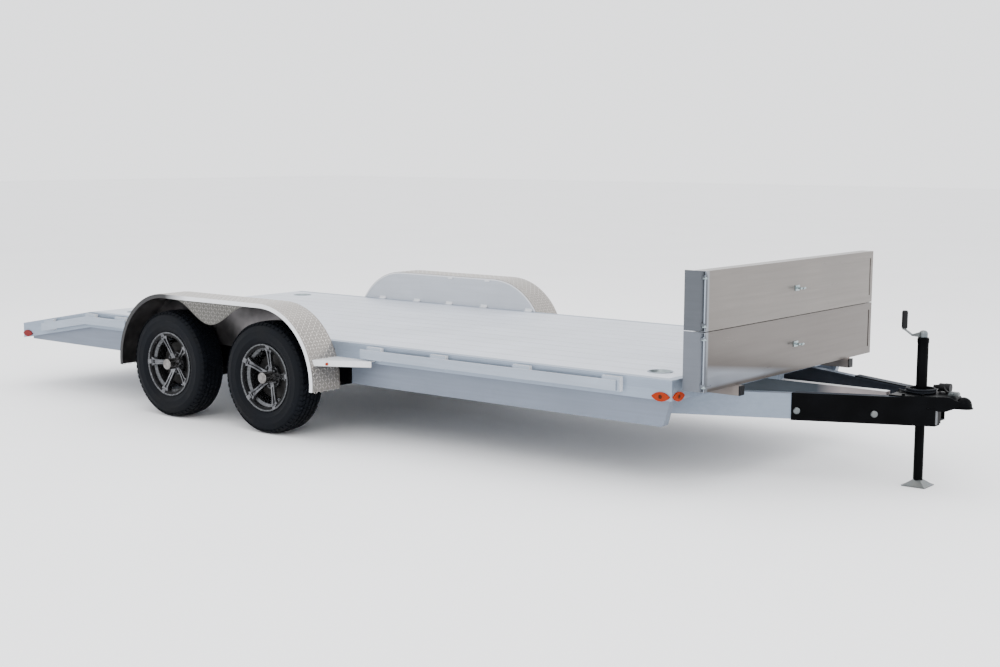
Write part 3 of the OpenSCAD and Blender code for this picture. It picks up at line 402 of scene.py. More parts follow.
# The fade of the end strip, and the wedge of painted sheen at the lower ramp's foot: its slope, and
# the heights over the foot between which its edges fade.
STRIP_FADE = (0.034, 0.042)
WEDGE_SLOPE = 0.125
WEDGE_TOP_FADE, WEDGE_FOOT_FADE = (0.107, 0.143), (0.012, 0.029)


def ramp_look():
    """Satin sheet with a tan painted reflection, painted shade on the lower ramp, cool tones at its
    end strip and a cool painted sheen in a wedge at the lower ramp's foot.
    """
    look = aluminium("ramp_aluminium", RAMP_COLOR, 0.34, GRAIN_Y, metal=0.8)
    height = look.axis("Z")
    lower = look.ramp(height, (SEAM_LOW, 1), (SEAM_HIGH, 0))
    along = look.math("SUBTRACT", look.axis("Y"), END_Y)
    slope = look.math("ADD", height, look.math("MULTIPLY", along, WEDGE_SLOPE))
    top_low, top_high = (FOOT_Z + z for z in WEDGE_TOP_FADE)
    foot_low, foot_high = (FOOT_Z + z for z in WEDGE_FOOT_FADE)
    foot = look.math("MULTIPLY", look.ramp(slope, (top_low, 1), (top_high, 0)),
                     look.ramp(height, (foot_low, 0), (foot_high, 1)))
    strip = look.ramp(along, (STRIP_FADE[0], 1), (STRIP_FADE[1], 0))
    # Painted shade on the lower ramp, and a painted sheen at its foot.
    tone = look.mix(look.math("MULTIPLY", lower, 0.8), look.tone(), RAMP_LOW_SHADE_COLOR)
    tone = look.mix(foot, tone, RAMP_FOOT_SHEEN_COLOR)
    look.set_color(look.mix(strip, tone, RAMP_STRIP_COLOR))
    return look.mat


def bright_look(name):
    return aluminium(name, BRIGHT_COLOR, 0.34, NO_GRAIN, metal=0.25)


# Where the painted shade on a fender's lip thins out, ahead of the rear axle.
LIP_SHADE_FADE = (0.02, 0.24)


def lip_look():
    """The fenders' outer lip: a bright painted reflection in front and over the top, dark painted
    shade behind.
    """
    look = bright_look("fender_lip")
    start, end = (REAR_AXLE.x + ahead for ahead in LIP_SHADE_FADE)
    look.mottle(look.axis("X"), start, end, LIP_SHADE_COLOR, BRIGHT_COLOR)
    return look.mat


def inside_look():
    """The fenders' inner side in painted shade, with a painted grey sheen."""
    look = Look("fender_inside", INSIDE_COLORS[0], 0.34, 0.8)
    look.mottle(look.noise(3.5, detail=3), 0.35, 0.65, *INSIDE_COLORS)
    return look.mat


def beam_side_shade_look():
    """The centre beam's sides, in painted shade: dark under the ramps and light with a pink cast at
    the nose.
    """
    look = aluminium("beam_side_painted_shade", BEAM_SIDE_SHADE_COLORS[0])
    look.mottle(look.axis("X"), X_FRONT + 0.30, X_EXIT - 0.25, *BEAM_SIDE_SHADE_COLORS)
    return look.mat


def black_look(name, color, dust_color, rough):
    look = Look(name, color, rough, Specular_IOR_Level=0.03)
    peel = look.noise(160, detail=2)
    dust = look.ramp(look.noise(5, detail=5), (0.45, 0), (0.75, 1))
    look.set_color(look.mix(look.math("MULTIPLY", dust, 0.3), color, dust_color))
    look.set_rough(look.ramp(dust, (0, rough - 0.04), (1, rough + 0.12)))
    look.bump(peel, 0.0006, 0.2)
    return look.mat


def zinc_look(name, colors):
    look = Look(name, colors[0], 0.30, 0.9)
    spangle = look.node("ShaderNodeTexVoronoi")
    spangle.inputs["Scale"].default_value = 90
    look.link(look.stretched((1, 1, 1)), spangle.inputs["Vector"])
    tint = look.noise(14, detail=3)
    tone = look.mix(look.ramp(tint, (0.35, 0), (0.65, 1)), colors[0], colors[1])
    look.set_color(look.mix(look.ramp(spangle.outputs["Distance"], (0, 0), (1, 0.4)), tone,
                            colors[2]))
    look.set_rough(look.ramp(tint, (0.3, 0.24), (0.7, 0.40)))
    return look.mat


def rubber_look(name, color, rough):
    look = Look(name, color, rough, Specular_IOR_Level=0.09)
    bloom = look.noise(7, detail=4)
    pebble = look.noise(420, detail=1)
    look.mottle(bloom, 0.35, 0.7, shade(color, 0.8), shade(color, 1.5))
    look.set_rough(look.ramp(bloom, (0.3, rough - 0.08), (0.7, rough + 0.1)))
    look.bump(pebble, 0.0003, 0.4)
    return look.mat


def alloy_look():
    look = Look("alloy_wheel", ALLOY_COLORS[0], 0.26, 0.85, Coat_Weight=0.2,
                Coat_Roughness=0.08)
    look.mottle(look.noise(700, detail=1), 0.4, 0.7, *ALLOY_COLORS)
    look.set_rough(look.ramp(look.noise(18, detail=3), (0.3, 0.20), (0.7, 0.34)))
    return look.mat


def polished_look(name):
    dark, light, rough, scale = POLISHED[name]
    look = Look(name, light, rough, 0.95)
    haze = look.noise(scale, detail=2)
    look.mottle(haze, 0.3, 0.7, dark, light)
    look.set_rough(look.ramp(haze, (0.3, rough - 0.05), (0.7, rough + 0.08)))
    return look.mat


def iron_look():
    look = Look("drum_iron", IRON_COLORS[0], 0.6, 0.3, Specular_IOR_Level=0.25)
    cast = look.noise(120, detail=4)
    look.mottle(cast, 0.35, 0.7, *IRON_COLORS)
    look.bump(cast, 0.0006, 0.4)
    return look.mat


def plastic_look():
    look = Look("black_plastic", PLASTIC_COLORS[0], 0.45, Specular_IOR_Level=0.12)
    grain = look.noise(600, detail=2)
    look.set_rough(look.ramp(grain, (0.3, 0.38), (0.7, 0.52)))
    look.mottle(grain, 0.3, 0.7, *PLASTIC_COLORS)
    look.bump(grain, 0.0002, 0.3)
    return look.mat


LENS_PITCH = 0.006


def lens_look(name, color, dark):
    """A moulded lens with a fine grid of ribs, darker between them."""
    look = Look(name, color, 0.25, Specular_IOR_Level=0.10, Coat_Weight=0.04,
                Coat_Roughness=0.05)
    cells = look.lines("X", LENS_PITCH, 0.5)
    rows = look.lines("Z", LENS_PITCH, 0.5)
    grid = look.math("MULTIPLY", cells, rows)
    look.mottle(grid, 0, 1, dark, color)
    look.bump(grid, 0.0006, 0.4)
    return look.mat


LOOKS = {
    "frame_aluminium": frame_look("frame_aluminium", FRAME_COLOR),
    "deck_aluminium": deck_look(),
    "tread_plate": tread_look("tread_plate", TREAD_COLOR),
    "ramp_aluminium": ramp_look(),
    "black_paint": black_look("black_paint", BLACK_COLOR, BLACK_DUST_COLOR, 0.36),
    "zinc_plate": zinc_look("zinc_plate", ZINC_COLORS),
    "tyre": rubber_look("tyre", RUBBER_COLOR, 0.62),
    "alloy_wheel": alloy_look(),
    "drum_iron": iron_look(),
    "black_plastic": plastic_look(),
    "lead_rubber": rubber_look("lead_rubber", LEAD_COLOR, 0.5),
    "amber_lens": lens_look("amber_lens", *AMBER_COLORS),
    "red_lens": lens_look("red_lens", *RED_COLORS),
}
# Looks of single faces and small pieces.
BRIGHT = bright_look("bright_aluminium").mat
LIP = lip_look()
DISH = frame_look("dish_zinc", DISH_COLOR)
LUGS = tread_look("tread_lugs", LUG_COLOR)
BEAM = frame_look("beam_aluminium", BEAM_COLOR)
MACHINED, RIM, NUT, SPOKE, CHROME, SHADED_SHELF = (polished_look(name) for name in POLISHED)
INSIDE = inside_look()
BULB = lens_look("lamp_spot", *BULB_COLORS)
PANEL = frame_look("panel_aluminium", PANEL_COLOR)
RUB = frame_look("rub_aluminium", RUB_COLOR)
TONGUE = frame_look("tongue_aluminium", TONGUE_COLOR)
SHADED_REST = frame_look("rest_painted_shade", REST_SHADE_COLOR)
SHADED_BEAM_SIDE = beam_side_shade_look()
PIN = zinc_look("bright_zinc", PIN_COLORS)
SHADED_RAMP_END = {"ramp_upper": frame_look("ramp_end_painted_shade", RAMP_END_SHADE_COLOR),
            "ramp_lower": frame_look("ramp_end_low_painted_shade", RAMP_END_LOW_SHADE_COLOR)}
SHADE_TREAD = tread_look("shade_tread", SHADE_TREAD_COLOR)
SHADE_LUGS = tread_look("shade_lugs", SHADE_LUG_COLOR)
GREY_BLACK = black_look("grey_black", *GREY_BLACK_COLORS, 0.5)


def dress_nodes():
    """Gives every CAD node the look of its material slot."""
    slots = {part["node"]: part["material_slot"] for part in frame["record"]["subparts"]}
    for name, obj in NODES.items():
        obj.data.materials.clear()
        obj.data.materials.append(LOOKS[slots[name]])


def paint(node, mat, chosen=None):
    """Another look for a CAD node's faces: all, or those that a test on centre and normal picks."""
    mesh = NODES[node].data
    if mat.name not in mesh.materials:
        mesh.materials.append(mat)
    index = mesh.materials.find(mat.name)
    for face in mesh.polygons:
        if chosen is None or chosen(face.center, face.normal):
            face.material_index = index


# A face looks up when its normal's Z is over UP.
UP = 0.9
JACK_FOOT_TOP = 0.040
# The rub rail's bar and the fender's lip, a little over their thickness.
BAR_T, LIP_T = 0.0085, 0.004
SKIN_SLACK = 0.001
# A fender's inner side lies within this height over the axles.
ARCH_HIGH = 0.46
# The rod at a ramp's right end: its place from the ramp's corner, and its radius with slack.
ROD_BACK, ROD_IN, ROD_R = 0.008, 0.010, 0.0056
RAMP_END_LONG = 0.042


def ramp_rod(name):
    """The place of the rod at a ramp's right end, in X and Y."""
    lo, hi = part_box(name)
    return Vector((hi.x - ROD_BACK, lo.y + ROD_IN))


def paint_fender(hand, side):
    """Painted light on one fender: the lip's bright painted reflection and dark painted shade, the
    shaded valance and the dark inner side's painted shade.
    """
    fender = f"fender_{hand}"
    outer = max(abs(corner.y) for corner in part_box(fender))
    paint(fender, SHADE_TREAD,
          lambda c, n: n.y * side > 0.5 and abs(c.y) > outer - LIP_T)
    # The lip: a painted reflection in front, painted shade behind.
    paint(fender, LIP, lambda c, n: abs(c.y) > outer - SKIN_SLACK)
    # Faces that look in towards the wheels take painted shade.
    for hub in (FRONT_AXLE, REAR_AXLE):
        paint(fender, INSIDE,
              lambda c, n: abs(n.y) < 0.5 and c.z < hub.z + ARCH_HIGH
              and n.x * (c.x - hub.x) + n.z * (c.z - hub.z) < -0.3)


def paint_nodes():
    paint("jack_leg", LOOKS["zinc_plate"], lambda c, n: c.z < JACK_FOOT_TOP)
    # The sleeves' tops are a greyer black.
    paint("tongue_sleeves", GREY_BLACK, lambda c, n: n.z > UP)
    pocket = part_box("rub_rails")[1].y - BAR_T
    paint("rub_rails", RUB)
    # The bars' tops and the pockets take the bright look: a painted highlight.
    paint("rub_rails", BRIGHT, lambda c, n: n.z > UP or abs(c.y) < pocket)
    paint("fender_steps", BRIGHT, lambda c, n: n.z > -0.5)
    paint("tie_downs", DISH)
    paint("tie_downs", TONGUE, lambda c, n: n.z > UP and c.z > DECK_Z - SKIN_SLACK)
    paint("frame_beams", BEAM)
    # The centre beam: painted shade on its sides and a painted highlight on its top.
    paint("centre_beam", SHADED_BEAM_SIDE, lambda c, n: abs(n.z) < 0.5)
    paint("centre_beam", BRIGHT, lambda c, n: n.z > UP)
    paint("tongue_rails", TONGUE)
    # Painted shade on the tongue rails' inner faces.
    paint("tongue_rails", GREY_BLACK, lambda c, n: n.y * c.y < 0)
    # Painted shade on the ramp rests' tubes.
    paint("ramp_rests", SHADED_REST, lambda c, n: abs(c.y) > 0.3 and n.x < 0.5)
    paint("ramp_clamps", PIN)
    latch = middle("coupler_latch")
    paint("coupler_latch", LOOKS["black_paint"], lambda c, n: c.x < latch.x or c.z > latch.z)
    for hand, side in SIDES:
        paint_fender(hand, side)
    # The panels' faces towards the tyres take painted shade; the faces over the deck stay light.
    paint("fender_panels", PANEL, lambda c, n: n.y * c.y < 0.5)
    paint("fender_panels", INSIDE, lambda c, n: n.y * c.y > 0.5)
    for name in RAMPS:
        lo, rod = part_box(name)[0], ramp_rod(name)
        # Painted shade on the faces at each ramp's end.
        paint(name, SHADED_RAMP_END[name], lambda c, n: c.y < lo.y + RAMP_END_LONG)
        paint(name, RUB, lambda c, n: (c.xy - rod).length < ROD_R)


# Light lead

LEAD_D = 0.012
LEAD_Z = PLATE_TOP + LEAD_D / 2
COIL_RADII = (0.062, 0.074)
COIL_TURNS, COIL_STEPS = 4, 40
# Where the coil climbs to its second layer, and how long that takes, in turns.
CLIMB_AT, CLIMB_LONG = 1.9, 0.2
LEAD_ROUTE = [
    (X_EXIT + 0.010, 0, BEAM_TOP - 0.025),
    (X_EXIT + 0.035, -0.008, BEAM_TOP - 0.018), (X_EXIT + 0.060, -0.022, BEAM_TOP + 0.002),
    (X_EXIT + 0.078, -0.036, LEAD_Z + 0.002), (X_EXIT + 0.100, -0.052, LEAD_Z),
    (X_EXIT + 0.122, -0.062, LEAD_Z)]


def coil_points(start):
    """The lead's turns round the jack, which go on from a point of it."""
    first = math.atan2(start.y, start.x - X_JACK)
    points = []
    for k in range(1, COIL_TURNS * COIL_STEPS + 1):
        turn = k / COIL_STEPS
        part = turn % 2
        swing = math.sin(math.pi * min(part, 2 - part) / 2)
        radius = COIL_RADII[0] + (COIL_RADII[1] - COIL_RADII[0]) * swing
        height = LEAD_Z + LEAD_D * min(1.0, max(0.0, (turn - CLIMB_AT) / CLIMB_LONG))
        a = first + 2 * math.pi * turn
        points.append(Vector((X_JACK + radius * math.cos(a), radius * math.sin(a), height)))
    return points


def add_lead():
    """The light lead: out of the centre beam, over the coupler's plate and round the jack."""
    points = [Vector(p) for p in LEAD_ROUTE]
    points += coil_points(points[-1])
    curve = bpy.data.curves.new("light_lead", "CURVE")
    curve.dimensions = "3D"
    curve.bevel_depth, curve.bevel_resolution, curve.resolution_u = LEAD_D / 2, 3, 2
    spline = curve.splines.new("POLY")
    spline.points.add(len(points) - 1)
    for made, p in zip(spline.points, points):
        made.co = (*p, 1)
    curve.materials.append(LOOKS["lead_rubber"])
    curve.use_fill_caps = True
    lead = place_in_scene("light_lead", curve)
    dress(lead, TRAILER)
    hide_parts("lead_tube", "lead_coil")


# Tyres

TYRE_STEPS = 144
BEAD_R = 0.1905
# Outline of a sidewall, from bead to crown: share of its height and of the half width.
SIDEWALL = ((0, 0.76), (0.03, 0.80), (0.09, 0.80), (0.12, 0.775), (0.16, 0.83), (0.24, 0.90),
            (0.33, 0.955), (0.345, 0.970), (0.36, 0.965), (0.48, 0.995), (0.60, 0.985),
            (0.61, 0.992), (0.63, 0.985), (0.72, 0.955), (0.80, 0.915), (0.83, 0.895),
            (0.85, 0.86), (0.885, 0.84), (0.92, 0.78), (0.938, 0.70), (0.95, 0.40), (0.952, 0))
# Rows of tread blocks: first and last offset, and the lean as a share of the pitch.
BLOCK_ROWS = ((-0.078, -0.052, 0.35), (-0.044, -0.020, 0.2), (-0.012, 0.012, -0.15),
              (0.020, 0.044, -0.2), (0.052, 0.078, -0.35))
BLOCKS, BLOCK_CUTS, BLOCK_DEEP = 60, 3, 0.0105
BLOCK_PITCH = 2 * math.pi / BLOCKS
# Share of the pitch that a block fills.
BLOCK_FILL, SHOULDER_FILL = 0.86, 0.80
# The crown falls as a shallow parabola out to a share of the half width, then more steeply.
CROWN_FALL, SHOULDER_AT, SHOULDER_FALL, SHOULDER_POWER = 0.0075, 0.6, 0.0285, 1.35
# Outline of a shoulder lug: depth under the crown, with the offset as a share of the row's
# edge and then of the half width. It starts and ends a little inside its block.
LUG_EDGE, LUG_SIDE = ((0.0080, 0.98), (0.0058, 1.01)), ((0.0180, 0.915), (0.0200, 0.86))
LUG_START, LUG_END = 0.08, 0.02


def tyre_profile(crown, half):
    """Carcass from one bead over the groove floor to the other: (radius, offset) points."""
    side = [(BEAD_R + a * (crown - BEAD_R), b * half) for a, b in SIDEWALL]
    return side + [(r, -y) for r, y in reversed(side[:-1])]


def crown_drop(y, half):
    """How far the tread's surface lies under the crown at an offset y."""
    u = abs(y) / half
    if u < SHOULDER_AT:
        return CROWN_FALL * u ** 2
    return CROWN_FALL * SHOULDER_AT ** 2 + SHOULDER_FALL * (u - SHOULDER_AT) ** SHOULDER_POWER


def tread_block(row, a0, a1, crown, half):
    """One block of the tread between two angles, bent round the crown."""
    y0, y1, skew = row
    verts = []
    for j in range(BLOCK_CUTS + 1):
        for y in (y0, y1):
            lean = skew * BLOCK_PITCH * ((y - y0) / (y1 - y0) - 0.5)
            a = a0 + (a1 - a0) * j / BLOCK_CUTS + lean
            drop = crown_drop(y, half)
            for r in (crown - BLOCK_DEEP - 0.6 * drop, crown - drop):
                verts.append((r * math.cos(a), r * math.sin(a), y))
    faces = [(0, 1, 3, 2)]
    for j in range(BLOCK_CUTS):
        p, q = 4 * j, 4 * (j + 1)
        faces += [(p + 1, q + 1, q + 3, p + 3), (p, q, q + 1, p + 1), (p + 2, p + 3, q + 3, q + 2)]
    last = 4 * BLOCK_CUTS
    faces.append((last, last + 2, last + 3, last + 1))
    return verts, faces


def shoulder_lug(row, a0, a1, crown, half):
    """The lug that runs from a shoulder block down the sidewall."""
    edge = row[1] if row[1] > 0 else row[0]
    side = math.copysign(half, edge)
    outline = [(crown - deep, edge * share) for deep, share in LUG_EDGE]
    outline += [(crown - deep, side * share) for deep, share in LUG_SIDE]
    verts = [(r * math.cos(a), r * math.sin(a), y)
             for a in (a0 + BLOCK_PITCH * LUG_START, a1 - BLOCK_PITCH * LUG_END)
             for r, y in outline]
    return verts, [(0, 1, 2, 3), (4, 7, 6, 5), (1, 5, 6, 2), (0, 4, 5, 1), (2, 6, 7, 3)]


def wheel_place(where, side):
    """The placement of a wheel, with Z out along its axle."""
    turn = Matrix.Rotation(-math.pi / 2 * side, 4, "X")
    return Matrix.Translation(middle(f"tyre_{where}")) @ turn


def add_tyre(where, side):
    name = f"tyre_{where}"
    lo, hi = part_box(name)
    crown, half = (hi.z - lo.z) / 2, (hi.y - lo.y) / 2
    profile = tyre_profile(crown, half)
    place = wheel_place(where, side)
    pile = Pile()
    pile.lathe(profile, place, TYRE_STEPS)
    for number, row in enumerate(BLOCK_ROWS):
        shoulder = number in (0, len(BLOCK_ROWS) - 1)
        for k in range(BLOCKS):
            a0 = (k + 0.5 * (number % 2)) * BLOCK_PITCH
            a1 = a0 + BLOCK_PITCH * (SHOULDER_FILL if shoulder else BLOCK_FILL)
            pile.add(*tread_block(row, a0, a1, crown, half), place)
            if shoulder:
                pile.add(*shoulder_lug(row, a0, a1, crown, half), place)
    obj = mesh_object(f"{name}_tread", pile.verts, pile.faces, LOOKS["tyre"])
    carcass = (len(profile) - 1) * TYRE_STEPS
    flags = [i < carcass for i in range(len(obj.data.polygons))]
    obj.data.polygons.foreach_set("use_smooth", flags)
    dress(obj, f"wheel_{where}")
    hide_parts(name)


# Wheels

SPOKES = 5
# Angle of the first spoke, in degrees.
SPOKE_TURN = {"front": 80, "rear": 108}
PAD_TOP = 0.026
NUT_CIRCLE = 0.057
# The valve stem's place, and how far it leans in and stands out.
STEM_R, STEM_LEAN, STEM_UP = 0.1665, 0.35, 0.94
# Turned outlines as (radius, height).
NUT_PROFILE = [(0.0095, 0), (0.0095, 0.011), (0.0075, 0.015), (0.003, 0.0175), (0, 0.018)]
SEAT_PROFILE = [(0.0125, 0), (0.0125, 0.0006), (0, 0.0006)]
LIP_PROFILE = [(0.1965, 0.0800), (0.1972, 0.0838), (0.2005, 0.0862), (0.2050, 0.0866),
               (0.2080, 0.0850), (0.2086, 0.0790)]
STEM_PROFILE = [(0.0045, 0), (0.0045, 0.022), (0.0035, 0.023), (0.0035, 0.034), (0, 0.034)]
# A spoke's foot at its inner and its outer end: radius, half width and top.
FOOT_ENDS = ((0.179, 0.0150, 0.0830), (0.2082, 0.0165, 0.0885))
FOOT_LOW, FOOT_SLANT = 0.0795, 0.0025
# Zones of a wheel's face: look, inner and outer radius, low and high, and whether only the faces
# that look outward are meant. The shelf between the lip and the barrel is painted shade.
WHEEL_ZONES = ((SPOKE, 0.030, 0.189, 0.027, 1, True), (RIM, 0.168, 0.180, 0.045, 0.055, False),
               (SHADED_SHELF, 0.1815, 0.2005, 0.0790, 0.0840, True),
               (CHROME, 0, 0.0368, 0.030, 1, False))
WHEEL_BEVEL, BEVEL_ANGLE = 0.0016, 30


def add_rim_lip(where, place, first):
    """The rim's rounded lip and the five spoke feet that lie across it."""
    lip, feet = Pile(), Pile()
    lip.lathe(LIP_PROFILE, place, 96)
    (r0, wide0, top0), (r1, wide1, top1) = FOOT_ENDS
    verts = [(r0, -wide0, FOOT_LOW), (r1, -wide1, FOOT_LOW), (r1, wide1, FOOT_LOW),
             (r0, wide0, FOOT_LOW)]
    r0, r1 = r0 + FOOT_SLANT, r1 - FOOT_SLANT
    wide0, wide1 = wide0 - FOOT_SLANT, wide1 - FOOT_SLANT
    verts += [(r0, -wide0, top0), (r1, -wide1, top1), (r1, wide1, top1), (r0, wide0, top0)]
    for k in range(SPOKES):
        spin = Matrix.Rotation(math.radians(first + 360 / SPOKES * k), 4, "Z")
        feet.add(verts, RING_FACES, place @ spin)
    lip.piece(f"rim_lip_{where}", f"wheel_{where}", "alloy_wheel", RIM, smooth=True)
    feet.piece(f"spoke_feet_{where}", f"wheel_{where}", "alloy_wheel", SPOKE)


def add_nuts(where, place, first):
    """Lug nuts on their seats between the spokes, and the valve stem."""
    nuts, seats = Pile(), Pile()
    angles = [math.radians(first + 360 / SPOKES * (k + 0.5)) for k in range(SPOKES)]
    for a in angles:
        spot = place @ Matrix.Translation((NUT_CIRCLE * math.cos(a), NUT_CIRCLE * math.sin(a),
                                           PAD_TOP))
        seats.lathe(SEAT_PROFILE, spot, 20)
        nuts.lathe(NUT_PROFILE, spot, 6)
    across, up = math.cos(angles[0]), math.sin(angles[0])
    stem = frame_at((STEM_R * across, STEM_R * up, PAD_TOP),
                    (-STEM_LEAN * across, -STEM_LEAN * up, STEM_UP))
    seats.lathe(STEM_PROFILE, place @ stem, 12)
    nuts.piece(f"lug_nuts_{where}", f"wheel_{where}", "zinc_plate", NUT)
    seats.piece(f"nut_seats_{where}", f"wheel_{where}", "black_plastic",
                LOOKS["black_plastic"])


def paint_wheel(node, place, side):
    """Bright rounded edges, and the look of each zone of a wheel's face."""
    NODES[node].data.materials.append(MACHINED)
    back = place.inverted()
    for mat, r0, r1, low, high, outward in WHEEL_ZONES:
        def in_zone(centre, normal):
            local = back @ centre
            r = math.hypot(local.x, local.y)
            return (r0 <= r < r1 and low < local.z < high
                    and (side * normal.y > 0.5 or not outward))

        paint(node, mat, in_zone)
    soften(NODES[node], WHEEL_BEVEL, BEVEL_ANGLE, slot=1)


def add_wheel_trim(axle, hand, side):
    """Everything on one wheel but its tyre."""
    where = f"{axle}_{hand}"
    place = wheel_place(where, side)
    add_nuts(where, place, SPOKE_TURN[axle])
    paint_wheel(f"wheel_{where}", place, side)
    add_rim_lip(where, place, SPOKE_TURN[axle])


# Tread plate

LUG_L, LUG_W, LUG_H, LUG_PITCH = 0.026, 0.0065, 0.0012, 0.0215
# The lugs' distance from the skin's inner and its outer edge, and the room that they leave.
LUG_INNER, LUG_OUTER, LUG_ROOM = 0.018, 0.016, 0.020
# The valance: its depth behind the lip's face, its half width, its drop, and the lip's depth.
VALANCE_IN, VALANCE_HALF, VALANCE_DROP, LIP_DEEP = 0.0025, 0.340, 0.138, 0.030
# The valance's lugs start this far under the lip, and end this far over its edge.
VALANCE_TOP_GAP, VALANCE_LOW_GAP = 0.010, 0.012


def lug_mesh():
    l, w, h = LUG_L / 2, LUG_W / 2, LUG_H
    verts = [(-l, 0, 0), (-l * 0.45, -w, 0), (l * 0.45, -w, 0), (l, 0, 0), (l * 0.45, w, 0),
             (-l * 0.45, w, 0), (-l * 0.5, 0, h), (l * 0.5, 0, h)]
    faces = [(0, 1, 6), (1, 2, 7, 6), (2, 3, 7), (3, 4, 7), (4, 5, 6, 7), (5, 0, 6)]
    return verts, faces


def lug_tilt(i, j):
    """The tilt of a lug, opposite to its neighbours'."""
    return math.radians(45 if (i + j) % 2 else -45)


def fender_path():
    """The fender skin's outer outline in X and Z: points with outward normals, end to end."""
    lo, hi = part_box("fender_right")
    r = hi.z - FRONT_AXLE.z
    drop = math.asin((FRONT_AXLE.z - lo.z) / r)

    def arch(centre, a0, a1):
        steps = int(r * abs(a1 - a0) / LUG_PITCH)
        angles = [a0 + (a1 - a0) * k / steps for k in range(steps + 1)]
        return [(centre.x + r * math.cos(a), centre.z + r * math.sin(a), math.cos(a),
                 math.sin(a)) for a in angles]

    gap = FRONT_AXLE.x - REAR_AXLE.x
    flat = int(gap / LUG_PITCH)
    level = [(FRONT_AXLE.x - gap * k / flat, hi.z, 0.0, 1.0) for k in range(1, flat)]
    return (arch(FRONT_AXLE, -drop, math.pi / 2) + level
            + arch(REAR_AXLE, math.pi / 2, math.pi + drop))


def add_tread(where, side):
    """Raised lugs on a fender's skin."""
    lo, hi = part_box(f"fender_{where}")
    inner, outer = sorted((abs(lo.y), abs(hi.y)))
    rows = int((outer - inner - LUG_ROOM) / LUG_PITCH)
    wide = outer - inner - LUG_INNER - LUG_OUTER
    pile = Pile()
    for i, (x, z, nx, nz) in enumerate(fender_path()):
        for j in range(rows):
            y = side * (inner + LUG_INNER + j * wide / (rows - 1))
            tilt = lug_tilt(i, j)
            along = Vector((-nz * math.cos(tilt), math.sin(tilt), nx * math.cos(tilt)))
            pile.add(*lug_mesh(), frame_at((x, y, z), (nx, 0, nz), along))
    pile.piece(f"tread_lugs_{where}", TRAILER, "tread_plate", LUGS)


def add_valance_tread(where, side):
    """Raised lugs on the valance between the arches."""
    lo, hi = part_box(f"fender_{where}")
    outer = max(abs(lo.y), abs(hi.y))
    top = hi.z - LIP_DEEP
    columns = int(VALANCE_HALF / LUG_PITCH)
    pile = Pile()
    for i in range(-columns, columns + 1):
        x = i * LUG_PITCH
        low = top - VALANCE_DROP * (1 + math.cos(math.pi * x / VALANCE_HALF)) / 2
        for j in range(int(VALANCE_DROP / LUG_PITCH)):
            z = top - VALANCE_TOP_GAP - j * LUG_PITCH
            if z < low + VALANCE_LOW_GAP:
                break
            tilt = lug_tilt(i, j)
            along = Vector((math.cos(tilt), 0, math.sin(tilt)))
            pile.add(*lug_mesh(), frame_at((MID_AXLE + x, side * (outer - VALANCE_IN), z),
                                           (0, side, 0), along))
    pile.piece(f"valance_lugs_{where}", TRAILER, "tread_plate", SHADE_LUGS)


# Small hardware


# Bolt heads as (radius, height).
COUPLER_BOLT, FLANGE_SCREW, LATCH_PIN = (0.008, 0.007), (0.005, 0.004), (0.005, 0.006)
GEAR_BOLT = (0.008, 0.006)


def bolt(pile, point, normal, size):
    """A round bolt head on its washer."""
    radius, height = size
    pile.lathe([(radius * 1.35, 0), (radius * 1.35, 0.002), (radius, 0.0022), (radius, height),
                (radius * 0.8, height * 1.15), (0, height * 1.2)],
               frame_at(point, normal), 12)


TONGUE_ANGLE = math.radians(25)
# Bolts of the sleeves and of the coupler, back from the sleeves' front ends.
SLEEVE_BOLTS, COUPLER_BOLTS = (0.232, 0.586), (0.030, 0.115)
SLEEVE_BOLT_DOWN, COUPLER_BOLT_IN = 0.022, 0.030
SLEEVE_BOLT_PROFILE = [(0.018, 0), (0.018, 0.003), (0.014, 0.007), (0.007, 0.009), (0, 0.0095)]
# Screws of the jack's flange.
FLANGE_SCREWS, FLANGE_CIRCLE, FLANGE_T = 3, 0.042, 0.008
LATCH_PIN_AHEAD, LATCH_PIN_UP, LATCH_PIN_HALF = 0.010, 0.010, 0.012


def sleeve_point(x, side, z):
    """A place on the outer face of a tongue sleeve, and the face's normal."""
    lo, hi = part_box("tongue_sleeves")
    y = hi.y - (x - lo.x) * math.tan(TONGUE_ANGLE)
    return (x, side * y, z), (math.sin(TONGUE_ANGLE), side * math.cos(TONGUE_ANGLE), 0)


def add_tongue_hardware():
    """Bolts of the sleeves and the coupler, screws of the jack and the latch's pin."""
    zinc, black = Pile(), Pile()
    lo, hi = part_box("tongue_sleeves")
    bolt_z = (lo.z + hi.z) / 2 - SLEEVE_BOLT_DOWN
    for _, side in SIDES:
        for back in SLEEVE_BOLTS:
            point, normal = sleeve_point(hi.x - back, side, bolt_z)
            zinc.lathe(SLEEVE_BOLT_PROFILE, frame_at(point, normal), 28)
        for back in COUPLER_BOLTS:
            (x, y, z), _ = sleeve_point(hi.x - back, side, PLATE_TOP)
            bolt(black, (x, y - side * COUPLER_BOLT_IN, z), (0, 0, 1), COUPLER_BOLT)
    for k in range(FLANGE_SCREWS):
        a = math.radians(60 + 360 / FLANGE_SCREWS * k)
        bolt(black, (X_JACK + FLANGE_CIRCLE * math.cos(a), FLANGE_CIRCLE * math.sin(a),
                     PLATE_TOP + FLANGE_T), (0, 0, 1), FLANGE_SCREW)
    pin_x = middle("coupler_latch").x + LATCH_PIN_AHEAD
    pin_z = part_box("coupler_latch")[0].z + LATCH_PIN_UP
    for _, side in SIDES:
        bolt(zinc, (pin_x, side * LATCH_PIN_HALF, pin_z), (0, side, 0), LATCH_PIN)
    zinc.piece("tongue_bolts", TRAILER, "zinc_plate", LOOKS["zinc_plate"])
    black.piece("coupler_bolts", TRAILER, "black_paint", LOOKS["black_paint"])


